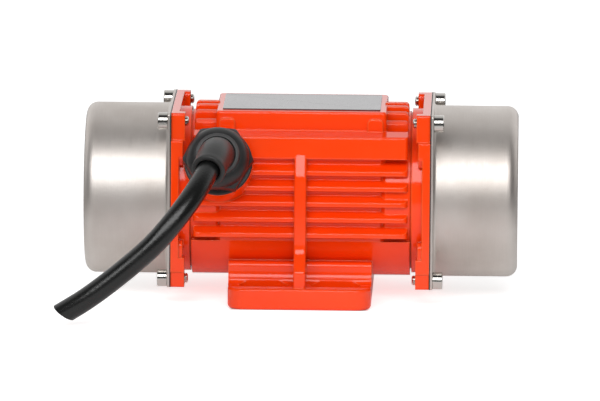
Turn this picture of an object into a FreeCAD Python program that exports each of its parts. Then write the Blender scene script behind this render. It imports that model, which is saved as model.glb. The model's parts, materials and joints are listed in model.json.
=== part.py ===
import FreeCAD, Part

import math
import os

from FreeCAD import Rotation, Vector

# Unbalance vibration motor. Millimetres, +Z up, +X along the shaft, -Y the side with the
# cable gland. The pieces are modelled about the shaft axis and saved with the origin under
# the foot, in the mounting plane.

# Shaft line
AXIS_HEIGHT = 52.5
RUNNING_CLEARANCE = 0.05
SEAT_CLEARANCE = 0.02
BOLT_CLEARANCE = 0.25

# Housing casting: barrel and its bores
FLANGE_FACE_X = 64.0
BARREL_END_X = 54.2
RELIEF_WIDTH = 0.7
RELIEF_DEPTH = 1.6
COLLAR_RADIUS = 41.0
ROOT_END_RADIUS = 39.5
ROOT_MID_RADIUS = 37.0
ROOT_MID_X = 39.5
ROOT_RAMP = 2.5
SHELL_RADIUS = 42.3
SHELL_TOP_Z = -20.5
STATOR_BORE_RADIUS = 30.0
BRACKET_BORE_RADIUS = 36.4
BRACKET_SHOULDER_X = 50.0

# Housing casting: cooling fins and rail along each flank
FIN_END_X = 53.0
FIN_END_ROUND = 3.0
FLOOR_Y = 37.2
FIN_TIP_Y = 42.0
FIN_TOP_Z = 15.2
FIN_PITCH = 7.8
FIN_COUNT = 5
FIN_TIP_THICKNESS = 2.2
FIN_TOP_SLOPE = 0.55
FIN_UNDER_SLOPE = 0.1
FIN_ROUND = 0.8
FIN_ROOT_Y = 32.7
GROOVE_ROUND = 1.0
RAIL_Y = 41.5
RAIL_LOW_Z = 21.2
RAIL_TOP_Z = 32.2
CROWN_FIN_RADIUS = 44.0
CROWN_FIN_PITCH = 7.7
CROWN_FIN_THICKNESS = 2.4
CROWN_FINS_EACH_SIDE = 3
CROWN_END_ROUND = 1.8

# Housing casting: nameplate pad
PAD_LENGTH = 84.4
PAD_WIDTH = 64.0
PAD_TOP_Z = 43.5
PAD_LEDGE_Z = 33.9
PAD_ROUND = 1.2
ARCH_WIDTH = 7.5
ARCH_HEIGHT = 6.0
ARCH_ROUND = 2.3
ARCH_STANDOFF = 1.2
ARCH_INSET = 5.5

# Housing casting: cover flanges
FLANGE_SIZE = 87.0
FLANGE_THICKNESS = 3.8
FLANGE_CORNER = 1.2
BOSS_THICKNESS = 6.8
BOSS_DEPTH_Y = 10.0
BOSS_CORNER = 2.0
BOSS_STEP = 1.0
LOW_BOSS_HEIGHT = 14.8
LOW_EAR_HEIGHT = 23.0
HIGH_BOSS_HEIGHT = 13.6
HIGH_EAR_FACE = 21.8
HIGH_EAR_HEIGHT = 26.3
HIGH_EAR_SLOPE = 3.5
EAR_ROUND = 3.0
HIGH_CHEEK_DEPTH = 1.2
HIGH_CHEEK_ROUND = 0.8
LOW_CHEEK_DEPTH = 0.6
LOW_CHEEK_HEIGHT = 7.7
COVER_BOLT_INSET = 4.25
COVER_BOLT_OFFSET = FLANGE_SIZE / 2 - COVER_BOLT_INSET

# Housing casting: foot
FOOT_LENGTH = 71.0
FOOT_WIDTH = 110.0
FOOT_THICKNESS = 10.5
FOOT_CORNER = 8.0
FOOT_EDGE = 2.0
PEDESTAL_WIDTH = 72.0
PEDESTAL_TOP_Z = -31.5
PEDESTAL_CORNER = 3.0
COVE_RADIUS = 6.0
RELIEF_CHANNEL_WIDTH = 48.0
RELIEF_CHANNEL_DEPTH = 1.5
SLOT_LENGTH = 24.0
SLOT_WIDTH = 9.0
SLOT_SPACING_X = 36.0
SLOT_SPACING_Y = 83.0

# Housing casting: central rib
RIB_WIDTH = 6.0
RIB_ROOT_Y = 32.0
RIB_ROUND = 1.2
RIB_TOP_Z = 24.7
RIB_FACE_Y = 45.5
RIB_FACE_TOP_Z = 12.0
RIB_FACE_LOW_Z = -24.0
RIB_TOE_Y = 52.5
RIB_TOE_Z = -34.0

# Cable gland, square to the barrel at this place and tilt
GLAND_X = -40.5
GLAND_TILT_DEG = 23.0
GLAND_SEAT_R = 51.0
GLAND_BOSS_RADIUS = 17.0
GLAND_THREAD_RADIUS = 10.0
GLAND_THREAD_LENGTH = 9.0
GLAND_HEX = 30.3
GLAND_HEX_THICKNESS = 4.5
GLAND_NUT_GAP = 0.4
GLAND_NUT_LENGTH = 12.0
GLAND_NUT_RADIUS = 16.9
GLAND_NUT_HEX = 30.6
GLAND_DOME_ROUND = 6.0
GLAND_RING_RADIUS = 11.0
GLAND_RING_HEIGHT = 1.2
GLAND_NECK_RADIUS = 12.5
GLAND_BORE_RADIUS = 9.8

# Cable and its bend protection boot
CABLE_DIAMETER = 11.0
BOOT_ROOT_RADIUS = 9.3
BOOT_END_RADIUS = 8.7
BOOT_MOUTH_DEPTH = 2.0
BOOT_MOUTH_GAP = 0.3
BOOT_SECTIONS = 7
ARC_SHARE = 0.45
CABLE_ROUTE = [
    (-44.1, -87.3, 22.2),
    (-49.4, -94.7, 13.5),
    (-56.8, -101.4, 3.6),
    (-66.4, -106.9, -7.3),
    (-77.8, -110.7, -18.6),
    (-90.3, -112.2, -29.4),
    (-102.6, -111.6, -38.8),
    (-113.8, -109.2, -46.2),
]

# Sheet metal end covers, gaskets and their screws
GASKET_THICKNESS = 0.5
COVER_SHEET = 1.2
COVER_DEPTH = 43.0
COVER_RIM = 1.0
COVER_RADIUS = FLANGE_SIZE / 2 - COVER_RIM
COVER_ROUND = 5.5
COVER_ROOT_ROUND = 1.5
COVER_SCREW_RADIUS = 2.5
COVER_HEAD_RADIUS = 4.25
COVER_HEAD_HEIGHT = 5.0
COVER_SOCKET = 4.0
COVER_SCREW_PROTRUSION = 1.8
SCREW_TIP = 0.7

# Bearing brackets, with their screws
BRACKET_RIM_THICKNESS = 7.5
BRACKET_HUB_RADIUS = 28.5
BRACKET_HUB_THICKNESS = 15.5
BRACKET_LIP_THICKNESS = 1.5
BRACKET_LIP_RADIUS = 19.5
BRACKET_SCREW_CIRCLE = 32.8
BRACKET_SCREW_RADIUS = 2.0
BRACKET_SCREW_DEPTH = 9.0
BRACKET_HEAD_RADIUS = 3.5
BRACKET_HEAD_HEIGHT = 4.0
BRACKET_SOCKET = 3.0

# Deep groove ball bearings, 17 x 47 x 14
BEARING_BORE_RADIUS = 8.5
BEARING_OUTER_RADIUS = 23.5
BEARING_WIDTH = 14.0
BEARING_SHOULDER_X = 47.5
INNER_RACE_RADIUS = 12.4
OUTER_RACE_RADIUS = 19.6
BALL_RADIUS = 4.35
BALL_COUNT = 7
CAGE_THICKNESS = 1.6
CAGE_WIDTH = 10.6

# Stator and rotor
CORE_LENGTH = 60.0
AIR_GAP = 0.4
STATOR_INNER_RADIUS = 18.0
STATOR_SLOTS = 18
STATOR_SLOT_MOUTH = 1.4
STATOR_SLOT_WIDTH = 3.2
STATOR_SLOT_DEPTH = 7.0
STATOR_TOOTH_TIP = 1.0
INSULATION = 0.15
WINDING_OVERHANG = 13.0
WINDING_INNER_RADIUS = 19.5
WINDING_OUTER_RADIUS = 28.5
WINDING_ROUND = 3.0
SHAFT_RADIUS = 10.0
CAGE_RING_WIDTH = 5.0
CAGE_RING_INNER_RADIUS = 11.5
FAN_BLADES = 6
FAN_BLADE_WIDTH = 2.0
FAN_BLADE_LENGTH = 4.0

# Eccentric weights on each shaft end
SHAFT_END_X = 99.0
SHAFT_END_RADIUS = 8.0
SHAFT_CHAMFER = 1.0
WEIGHT_SHOULDER_X = 66.8
WEIGHT_THICKNESS = 12.2
WEIGHT_COVER_GAP = 3.8
WEIGHT_RADIUS = COVER_RADIUS - COVER_SHEET - WEIGHT_COVER_GAP
WEIGHT_HALF_ANGLE_DEG = 80.0
WEIGHT_HUB_RADIUS = 15.0
DIAL_THICKNESS = 1.2
DIAL_RADIUS = 24.0
DIAL_TICKS = 12
DIAL_NOTCH = 1.2
CLAMP_EAR_WIDTH = 24.0
CLAMP_EAR_TOP = 24.0
CLAMP_SLIT = 2.0
CLAMP_SCREW_Z = 16.5
CLAMP_SCREW_RADIUS = 2.5
CLAMP_HEAD_RADIUS = 4.25
CLAMP_HEAD_HEIGHT = 5.0
CLAMP_SOCKET = 4.0
KEY_WIDTH = 5.0
KEY_HEIGHT = 5.0
KEY_DEPTH = 3.0
CIRCLIP_THICKNESS = 1.2
CIRCLIP_RADIUS = 11.0
CIRCLIP_GROOVE_DEPTH = 0.6
CIRCLIP_GAP_DEG = 40.0
CIRCLIP_PLAY = 0.1

# Nameplate
NAMEPLATE_LENGTH = 78.0
NAMEPLATE_WIDTH = 52.0
NAMEPLATE_THICKNESS = 0.5
NAMEPLATE_CORNER = 2.0

ALONG_X = Vector(1, 0, 0)
ALONG_Y = Vector(0, 1, 0)
ALONG_Z = Vector(0, 0, 1)
ORIGIN = Vector(0, 0, 0)


# Drawing aids ------------------------------------------------------------------------------

def across(u, v):
    """Point of an end view: u is Y and v is Z."""
    return Vector(0, u, v)


def lengthwise(u, v):
    """Point of a turned profile: u is X and v is the radius."""
    return Vector(u, 0, v)


def plan(u, v):
    """Point of a plan view: u is X and v is Y."""
    return Vector(u, v, 0)


def corner_edges(before, corner, after, radius):
    """Tangent points and arc that round one corner of an outline."""
    to_before = (before - corner).normalize()
    to_after = (after - corner).normalize()
    half = to_before.getAngle(to_after) / 2
    start = corner + to_before * (radius / math.tan(half))
    end = corner + to_after * (radius / math.tan(half))
    bisector = (to_before + to_after).normalize()
    middle = corner + bisector * (radius / math.sin(half) - radius)
    return start, middle, end


def outline(corners, view):
    """Flat face from corners (u, v) or (u, v, rounding radius)."""
    points = [view(corner[0], corner[1]) for corner in corners]
    radii = [corner[2] if len(corner) > 2 else 0 for corner in corners]
    pieces = []
    for index, point in enumerate(points):
        if radii[index] == 0:
            pieces.append((point, None, point))
            continue
        before = points[index - 1]
        after = points[(index + 1) % len(points)]
        pieces.append(corner_edges(before, point, after, radii[index]))
    edges = []
    for index, (start, middle, end) in enumerate(pieces):
        last_end = pieces[index - 1][2]
        if last_end.distanceToPoint(start) > 1e-6:
            edges.append(Part.LineSegment(last_end, start).toShape())
        if middle is not None:
            edges.append(Part.Arc(start, middle, end).toShape())
    return Part.Face(Part.Wire(Part.__sortEdges__(edges)))


def prism_x(corners, low_x, high_x):
    """End-view outline drawn out along the shaft direction."""
    face = outline(corners, across)
    face.translate(Vector(low_x, 0, 0))
    return face.extrude(Vector(high_x - low_x, 0, 0))


def prism_z(corners, low_z, high_z):
    """Plan outline drawn out upwards."""
    face = outline(corners, plan)
    face.translate(Vector(0, 0, low_z))
    return face.extrude(Vector(0, 0, high_z - low_z))


def turned(corners):
    """Profile of (x, radius) corners turned about the shaft axis."""
    return outline(corners, lengthwise).revolve(ORIGIN, ALONG_X, 360)


def rectangle(length, width, radius=0):
    """Corners of a centred rectangle with rounded corners."""
    u = length / 2
    v = width / 2
    return [(-u, -v, radius), (u, -v, radius), (u, v, radius), (-u, v, radius)]


def cylinder_x(radius, low_x, high_x, y=0, z=0):
    """Cylinder along X."""
    return Part.makeCylinder(radius, high_x - low_x, Vector(low_x, y, z), ALONG_X)


def tube_x(outer, inner, low_x, high_x):
    """Plain ring about the shaft axis."""
    return cylinder_x(outer, low_x, high_x).cut(cylinder_x(inner, low_x, high_x))


def block(low, high):
    """Box between two corners."""
    size = [b - a for a, b in zip(low, high)]
    return Part.makeBox(size[0], size[1], size[2], Vector(*low))


def joined(shapes):
    """One fused solid."""
    return shapes[0].fuse(shapes[1:]).removeSplitter()


def mirrored_y(shape):
    """The same form on the other flank."""
    return shape.mirror(ORIGIN, ALONG_Y)


def other_end(shape):
    """The same piece at the -X end."""
    return shape.mirror(ORIGIN, ALONG_X)


def turned_copies(shape, count, start_deg=0):
    """Copies spaced evenly about the shaft axis."""
    copies = []
    for index in range(count):
        copy = shape.copy()
        copy.rotate(ORIGIN, ALONG_X, start_deg + 360 * index / count)
        copies.append(copy)
    return copies


def hex_prism(across_flats, low, height, axis):
    """Hexagon centred on an axis, for heads and sockets."""
    corner_radius = across_flats / math.sqrt(3)
    corners = []
    for index in range(6):
        angle = math.radians(60 * index)
        corners.append(Vector(corner_radius * math.cos(angle), corner_radius * math.sin(angle), 0))
    prism = Part.Face(Part.makePolygon(corners + corners[:1])).extrude(Vector(0, 0, height))
    prism.Placement = FreeCAD.Placement(low, Rotation(ALONG_Z, axis))
    return prism


def socket_screw(head_radius, head_height, shank_radius, shank_length, socket, seat, axis):
    """Socket head screw with its head seated at a point, facing along an axis."""
    inward = axis * -1
    head = Part.makeCylinder(head_radius, head_height, seat, axis)
    crown = head.Edges[0] if head.Edges[0].CenterOfMass.distanceToPoint(seat) > 0.1 else head.Edges[2]
    head = head.makeChamfer(0.4, [crown])
    shank = Part.makeCylinder(shank_radius, shank_length - SCREW_TIP, seat, inward)
    tip_start = seat + inward * (shank_length - SCREW_TIP)
    tip = Part.makeCone(shank_radius, shank_radius - SCREW_TIP, SCREW_TIP, tip_start, inward)
    recess = hex_prism(socket, seat + axis * (head_height * 0.45), head_height, axis)
    return head.fuse([shank, tip]).cut(recess).removeSplitter()


# Housing casting -----------------------------------------------------------------------------

def barrel():
    """Turned body: mid zone, ramps, end zones, relief grooves and collars."""
    relief_radius = COLLAR_RADIUS - RELIEF_DEPTH
    collar_x = BARREL_END_X + RELIEF_WIDTH
    half = [
        (ROOT_MID_X, ROOT_MID_RADIUS),
        (ROOT_MID_X + ROOT_RAMP, ROOT_END_RADIUS),
        (BARREL_END_X, ROOT_END_RADIUS),
        (BARREL_END_X, relief_radius - 0.4),
        (collar_x, relief_radius - 0.4),
        (collar_x, COLLAR_RADIUS),
        (FLANGE_FACE_X, COLLAR_RADIUS),
        (FLANGE_FACE_X, 0),
    ]
    return turned([(-x, radius) for x, radius in reversed(half)] + half)


def lower_shell():
    """Smooth wall under the fins, down both flanks and round the belly."""
    shell = cylinder_x(SHELL_RADIUS, -BARREL_END_X, BARREL_END_X)
    below = block((-BARREL_END_X, -SHELL_RADIUS, -SHELL_RADIUS), (BARREL_END_X, SHELL_RADIUS, SHELL_TOP_Z))
    return shell.common(below)


def fin_section(index, root_y, root_round):
    """End-view corners of one drafted flank fin, thicker at its root."""
    top = FIN_TOP_Z - FIN_PITCH * index
    bottom = top - FIN_TIP_THICKNESS
    depth = FIN_TIP_Y - root_y
    return [
        (root_y, bottom - depth * FIN_UNDER_SLOPE, root_round),
        (FIN_TIP_Y, bottom, FIN_ROUND / 2),
        (FIN_TIP_Y, top, FIN_ROUND),
        (root_y, top + depth * FIN_TOP_SLOPE, root_round),
    ]


def rail_section():
    """End-view corners of the flat rail above the fins, with its sloping ledge."""
    inner_y = PAD_WIDTH / 2 - 2.5
    return [
        (inner_y, RAIL_LOW_Z - 1.0),
        (RAIL_Y, RAIL_LOW_Z, FIN_ROUND / 2),
        (RAIL_Y, RAIL_TOP_Z, 1.2),
        (PAD_WIDTH / 2, PAD_LEDGE_Z),
        (inner_y, PAD_LEDGE_Z),
    ]


def groove_section():
    """End-view corners of the mid zone's flank in one line, with every groove root rounded."""
    rail = rail_section()
    corners = [(FIN_ROOT_Y, SHELL_TOP_Z), (FLOOR_Y, SHELL_TOP_Z)]
    for index in reversed(range(FIN_COUNT)):
        corners += fin_section(index, FLOOR_Y, GROOVE_ROUND)
    corners.append((FLOOR_Y, RAIL_LOW_Z, GROOVE_ROUND))
    return corners + rail[1:4] + [(FIN_ROOT_Y, PAD_LEDGE_Z - 1)]


def flanks():
    """Rail and fins on both flanks, with their ends rounded in plan."""
    sections = [rail_section()] + [fin_section(index, FIN_ROOT_Y, 0) for index in range(FIN_COUNT)]
    bars = [prism_x(section, -FIN_END_X, FIN_END_X) for section in sections]
    bars.append(prism_x(groove_section(), -ROOT_MID_X, ROOT_MID_X))
    reach = 2 * FIN_TIP_Y
    ends = prism_z(rectangle(2 * FIN_END_X, reach, FIN_END_ROUND), -AXIS_HEIGHT, AXIS_HEIGHT)
    bars = [bar.common(ends) for bar in bars]
    return bars + [mirrored_y(bar) for bar in bars]


def mid_floor():
    """Flat groove floors of the mid zone, ramped towards its ends."""
    half_x = ROOT_MID_X + ROOT_RAMP
    ramp_y = FLOOR_Y - ROOT_RAMP
    corners = [
        (-half_x, -ramp_y), (-ROOT_MID_X, -FLOOR_Y), (ROOT_MID_X, -FLOOR_Y), (half_x, -ramp_y),
        (half_x, ramp_y), (ROOT_MID_X, FLOOR_Y), (-ROOT_MID_X, FLOOR_Y), (-half_x, ramp_y),
    ]
    return prism_z(corners, SHELL_TOP_Z, RAIL_LOW_Z)


def crown_fins():
    """Fins that run along the crown between the nameplate pad and each collar."""
    inner_x = PAD_LENGTH / 2 - 1
    limit = turned([
        (inner_x, ROOT_END_RADIUS - 4),
        (FIN_END_X, ROOT_END_RADIUS - 4),
        (FIN_END_X, CROWN_FIN_RADIUS, CROWN_END_ROUND),
        (inner_x, CROWN_FIN_RADIUS),
    ])
    fins = []
    for index in range(-CROWN_FINS_EACH_SIDE, CROWN_FINS_EACH_SIDE + 1):
        y = CROWN_FIN_PITCH * index
        half = CROWN_FIN_THICKNESS / 2
        plate = block((inner_x, y - half, 0), (FIN_END_X, y + half, CROWN_FIN_RADIUS))
        fins.append(plate.common(limit))
    return fins + [other_end(fin) for fin in fins]


def nameplate_pad():
    """Raised flat pad for the nameplate, with arched bosses on its long sides."""
    pad = prism_z(rectangle(PAD_LENGTH, PAD_WIDTH, 2.0), 0, PAD_TOP_Z)
    top_edges = [edge for edge in pad.Edges if edge.BoundBox.ZMin > PAD_TOP_Z - 0.01]
    pad = pad.makeFillet(PAD_ROUND, top_edges)
    half = ARCH_WIDTH / 2
    top = PAD_LEDGE_Z + ARCH_HEIGHT
    low = PAD_LEDGE_Z - 1.5
    side = PAD_WIDTH / 2
    face_points = [(-half, low), (half, low), (half, top, ARCH_ROUND), (-half, top, ARCH_ROUND)]
    arches = []
    for x in (-1, 1):
        centre = x * (PAD_LENGTH / 2 - ARCH_INSET)
        face = outline(face_points, lambda u, v, shift=centre: Vector(u + shift, side - 1, v))
        arches.append(face.extrude(Vector(0, 1 + ARCH_STANDOFF, 0)))
    return [pad] + arches + [mirrored_y(arch) for arch in arches]


def flange_outline():
    """End-view corners of the flange, its cheeks set back beside the screws."""
    half = FLANGE_SIZE / 2
    low_z = LOW_CHEEK_HEIGHT - half
    high_z = half - HIGH_BOSS_HEIGHT
    low_y = half - LOW_CHEEK_DEPTH
    high_y = half - HIGH_CHEEK_DEPTH
    side = [
        (low_y, -half, FLANGE_CORNER), (low_y, low_z), (half, low_z),
        (half, high_z, HIGH_CHEEK_ROUND), (high_y, high_z), (high_y, half, FLANGE_CORNER),
    ]
    return side + [(-corner[0],) + corner[1:] for corner in reversed(side)]


def flange_ears(inner_y, boss_x):
    """Sections that carry the upper and the lower screw bosses on along the flange's side."""
    half = FLANGE_SIZE / 2
    high_z = half - HIGH_BOSS_HEIGHT
    upper = [
        (inner_y, half - HIGH_EAR_HEIGHT), (half - HIGH_EAR_SLOPE, half - HIGH_EAR_HEIGHT),
        (half, half - HIGH_EAR_FACE, EAR_ROUND), (half, high_z, HIGH_CHEEK_ROUND),
        (inner_y, high_z),
    ]
    face_y = half - BOSS_STEP
    low_z = LOW_BOSS_HEIGHT - half
    lower = [
        (inner_y, low_z - 0.5), (face_y, low_z - 0.5), (face_y, LOW_EAR_HEIGHT - half, EAR_ROUND),
        (inner_y, LOW_EAR_HEIGHT - half, EAR_ROUND),
    ]
    return [prism_x(section, boss_x + BOSS_STEP, FLANGE_FACE_X) for section in (upper, lower)]


def cover_flange():
    """Square flange at the +X end, with its long corner bosses."""
    half = FLANGE_SIZE / 2
    boss_x = FLANGE_FACE_X - BOSS_THICKNESS
    plate = prism_x(flange_outline(), FLANGE_FACE_X - FLANGE_THICKNESS, FLANGE_FACE_X)
    thick = prism_x(flange_outline(), boss_x, FLANGE_FACE_X)
    inner_y = half - BOSS_DEPTH_Y
    pieces = flange_ears(inner_y, boss_x)
    for root_z, tip_z in ((half - HIGH_BOSS_HEIGHT, half), (LOW_BOSS_HEIGHT - half, -half)):
        square = [(inner_y, root_z), (half, root_z), (half, tip_z), (inner_y, tip_z, BOSS_CORNER)]
        pieces.append(thick.common(prism_x(square, boss_x, FLANGE_FACE_X)))
    return [plate] + pieces + [mirrored_y(piece) for piece in pieces]


def foot():
    """Slotted foot plate, pedestal with its coves, and nothing under the middle."""
    base = -AXIS_HEIGHT
    top = base + FOOT_THICKNESS
    plate = prism_z(rectangle(FOOT_LENGTH, FOOT_WIDTH, FOOT_CORNER), base, top)
    low_edges = [edge for edge in plate.Edges if edge.BoundBox.ZMax < base + 0.01]
    plate = plate.makeFillet(FOOT_EDGE, low_edges)
    high_edges = [edge for edge in plate.Edges if edge.BoundBox.ZMin > top - 0.01]
    plate = plate.makeFillet(FOOT_EDGE / 2, high_edges)
    wall = PEDESTAL_WIDTH / 2
    reach = wall + COVE_RADIUS
    half_section = [
        (0, top - 1), (reach + 1, top - 1), (reach + 1, top), (wall, top, COVE_RADIUS * 0.999),
        (wall, PEDESTAL_TOP_Z, FOOT_EDGE), (0, PEDESTAL_TOP_Z),
    ]
    pedestal = prism_x(half_section, -FOOT_LENGTH / 2, FOOT_LENGTH / 2)
    ends = prism_z(rectangle(FOOT_LENGTH, 2 * reach + 4, PEDESTAL_CORNER), base, 0)
    pedestal = pedestal.common(ends)
    return [plate, pedestal, mirrored_y(pedestal)]


def slots():
    """Cutters for the four elongated bolt holes."""
    plan_form = rectangle(SLOT_LENGTH, SLOT_WIDTH, SLOT_WIDTH * 0.4999)
    cutters = []
    for x in (-1, 1):
        for y in (-1, 1):
            cutter = prism_z(plan_form, -AXIS_HEIGHT - 1, PEDESTAL_TOP_Z + 1)
            cutter.translate(Vector(x * SLOT_SPACING_X / 2, y * SLOT_SPACING_Y / 2, 0))
            cutters.append(cutter)
    return cutters


def rib():
    """Central rib from the rail down to the front of the foot, on both flanks."""
    low_z = -AXIS_HEIGHT + FOOT_THICKNESS - 1
    section = [
        (RIB_ROOT_Y, RIB_TOP_Z), (RAIL_Y - 0.5, RIB_TOP_Z), (RIB_FACE_Y, RIB_FACE_TOP_Z, 12.0),
        (RIB_FACE_Y, RIB_FACE_LOW_Z, 8.0), (RIB_TOE_Y, RIB_TOE_Z, 2.0), (RIB_TOE_Y, low_z),
        (RIB_ROOT_Y, low_z),
    ]
    blade = prism_x(section, -RIB_WIDTH / 2, RIB_WIDTH / 2)
    outer_edges = [edge for edge in blade.Edges
                   if edge.BoundBox.XLength < 0.01 and edge.BoundBox.YMin > RIB_ROOT_Y + 1]
    blade = blade.makeFillet(RIB_ROUND, outer_edges)
    return [blade, mirrored_y(blade)]


def gland_placed(shape):
    """Swing a piece built about +Z onto the tilted gland line."""
    turn = Rotation(ALONG_X, 90 - GLAND_TILT_DEG)
    placed = shape.copy()
    placed.Placement = FreeCAD.Placement(Vector(GLAND_X, 0, 0), turn).multiply(placed.Placement)
    return placed


def gland_point(distance):
    """Point on the gland line at a distance from the shaft axis."""
    tilt = math.radians(GLAND_TILT_DEG)
    return Vector(GLAND_X, -distance * math.cos(tilt), distance * math.sin(tilt))


def gland_direction():
    """Outward direction of the gland line."""
    return (gland_point(1) - gland_point(0)).normalize()


def motor_housing():
    """Finned casting that carries everything else."""
    gland_boss = gland_placed(Part.makeCylinder(GLAND_BOSS_RADIUS, GLAND_SEAT_R))
    flange = cover_flange()
    solids = [barrel(), lower_shell(), mid_floor(), gland_boss]
    solids += flanks() + crown_fins() + nameplate_pad() + rib() + foot()
    solids += flange + [other_end(piece) for piece in flange]
    casting = joined(solids)
    cuts = [cylinder_x(STATOR_BORE_RADIUS, -FLANGE_FACE_X, FLANGE_FACE_X)]
    pocket = cylinder_x(BRACKET_BORE_RADIUS, BRACKET_SHOULDER_X, FLANGE_FACE_X)
    cuts += [pocket, other_end(pocket)]
    cuts += cover_bolt_holes(COVER_SCREW_RADIUS + SEAT_CLEARANCE, -FLANGE_FACE_X, FLANGE_FACE_X)
    tapped = cylinder_x(
        BRACKET_SCREW_RADIUS + SEAT_CLEARANCE, BRACKET_SHOULDER_X - BRACKET_SCREW_DEPTH,
        BRACKET_SHOULDER_X, 0, BRACKET_SCREW_CIRCLE)
    tapped_holes = turned_copies(tapped, 4, 45)
    cuts += tapped_holes + [other_end(hole) for hole in tapped_holes]
    cuts += slots()
    half_channel = RELIEF_CHANNEL_WIDTH / 2
    cuts.append(block((-FOOT_LENGTH, -half_channel, -AXIS_HEIGHT - 1),
                      (FOOT_LENGTH, half_channel, -AXIS_HEIGHT + RELIEF_CHANNEL_DEPTH)))
    cuts.append(gland_placed(Part.makeCylinder(
        GLAND_THREAD_RADIUS + SEAT_CLEARANCE, GLAND_SEAT_R + 1)))
    return casting.cut(cuts)


def cover_bolt_holes(radius, low_x, high_x):
    """Four cylinders on the cover screw pattern."""
    cutters = []
    for y in (-1, 1):
        for z in (-1, 1):
            cutters.append(cylinder_x(
                radius, low_x, high_x, y * COVER_BOLT_OFFSET, z * COVER_BOLT_OFFSET))
    return cutters


# Covers and nameplate --------------------------------------------------------------------------

def cover_gasket():
    """Square gasket under the +X cover."""
    outer_x = FLANGE_FACE_X + GASKET_THICKNESS
    sheet = prism_x(rectangle(FLANGE_SIZE, FLANGE_SIZE, FLANGE_CORNER), FLANGE_FACE_X, outer_x)
    opening = cylinder_x(COVER_RADIUS - COVER_SHEET, FLANGE_FACE_X, outer_x)
    holes = cover_bolt_holes(COVER_SCREW_RADIUS + BOLT_CLEARANCE, FLANGE_FACE_X, outer_x)
    return sheet.cut([opening] + holes)


def end_cover():
    """Deep-drawn cup with a square flange, at the +X end."""
    seat_x = FLANGE_FACE_X + GASKET_THICKNESS
    face_x = seat_x + COVER_SHEET
    end_x = seat_x + COVER_DEPTH
    sheet = prism_x(rectangle(FLANGE_SIZE, FLANGE_SIZE, FLANGE_CORNER), seat_x, face_x)
    skirt = COVER_RADIUS + 2 * COVER_ROOT_ROUND
    cup = turned([
        (seat_x, 0), (seat_x, skirt), (face_x, skirt), (face_x, COVER_RADIUS, COVER_ROOT_ROUND),
        (end_x, COVER_RADIUS, COVER_ROUND), (end_x, 0),
    ])
    square = prism_x(rectangle(FLANGE_SIZE, FLANGE_SIZE, FLANGE_CORNER), seat_x, end_x)
    inner_radius = COVER_RADIUS - COVER_SHEET
    hollow = turned([
        (seat_x - 1, 0), (seat_x - 1, inner_radius),
        (end_x - COVER_SHEET, inner_radius, COVER_ROUND - COVER_SHEET), (end_x - COVER_SHEET, 0),
    ])
    holes = cover_bolt_holes(COVER_SCREW_RADIUS + BOLT_CLEARANCE, seat_x - 1, face_x + 1)
    return joined([sheet, cup.common(square)]).cut([hollow] + holes)


def cover_screws():
    """Four socket head screws of the +X cover."""
    seat_x = FLANGE_FACE_X + GASKET_THICKNESS + COVER_SHEET
    tip_x = FLANGE_FACE_X - BOSS_THICKNESS - COVER_SCREW_PROTRUSION
    screws = []
    for y in (-1, 1):
        for z in (-1, 1):
            seat = Vector(seat_x, y * COVER_BOLT_OFFSET, z * COVER_BOLT_OFFSET)
            screws.append(socket_screw(
                COVER_HEAD_RADIUS, COVER_HEAD_HEIGHT, COVER_SCREW_RADIUS,
                seat_x - tip_x, COVER_SOCKET, seat, ALONG_X))
    return Part.makeCompound(screws)


def nameplate():
    """Bare plate on the pad."""
    corners = rectangle(NAMEPLATE_LENGTH, NAMEPLATE_WIDTH, NAMEPLATE_CORNER)
    return prism_z(corners, PAD_TOP_Z, PAD_TOP_Z + NAMEPLATE_THICKNESS)


# Bearing brackets and bearings -------------------------------------------------------------------

def bearing_bracket():
    """Turned bracket that seats on the bore shoulder and holds the bearing, at the +X end."""
    inner_x = BEARING_SHOULDER_X - BRACKET_LIP_THICKNESS
    outer_x = inner_x + BRACKET_HUB_THICKNESS
    rim_x = BRACKET_SHOULDER_X + BRACKET_RIM_THICKNESS
    hub_low = BRACKET_HUB_RADIUS
    body = turned([
        (inner_x, BRACKET_LIP_RADIUS), (inner_x, hub_low, 1.0), (BRACKET_SHOULDER_X, hub_low),
        (BRACKET_SHOULDER_X, BRACKET_BORE_RADIUS - SEAT_CLEARANCE),
        (rim_x, BRACKET_BORE_RADIUS - SEAT_CLEARANCE), (rim_x, hub_low),
        (outer_x, hub_low, 1.5), (outer_x, BEARING_OUTER_RADIUS),
        (BEARING_SHOULDER_X, BEARING_OUTER_RADIUS), (BEARING_SHOULDER_X, BRACKET_LIP_RADIUS),
    ])
    hole = cylinder_x(BRACKET_SCREW_RADIUS + BOLT_CLEARANCE, inner_x, outer_x, 0, BRACKET_SCREW_CIRCLE)
    return body.cut(turned_copies(hole, 4, 45))


def bracket_screws():
    """Four screws that hold the +X bracket to the bore shoulder."""
    seat_x = BRACKET_SHOULDER_X + BRACKET_RIM_THICKNESS
    seat = Vector(seat_x, 0, BRACKET_SCREW_CIRCLE)
    length = BRACKET_RIM_THICKNESS + BRACKET_SCREW_DEPTH - 0.5
    screw = socket_screw(
        BRACKET_HEAD_RADIUS, BRACKET_HEAD_HEIGHT, BRACKET_SCREW_RADIUS, length,
        BRACKET_SOCKET, seat, ALONG_X)
    return Part.makeCompound(turned_copies(screw, 4, 45))


def ball_circle():
    """Radius of the circle that the ball centres run on."""
    return (INNER_RACE_RADIUS + OUTER_RACE_RADIUS) / 2


def race_groove():
    """Ring that cuts the ball groove in both races."""
    centre_x = BEARING_SHOULDER_X + BEARING_WIDTH / 2
    return Part.makeTorus(ball_circle(), BALL_RADIUS + RUNNING_CLEARANCE, Vector(centre_x, 0, 0), ALONG_X)


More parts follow.
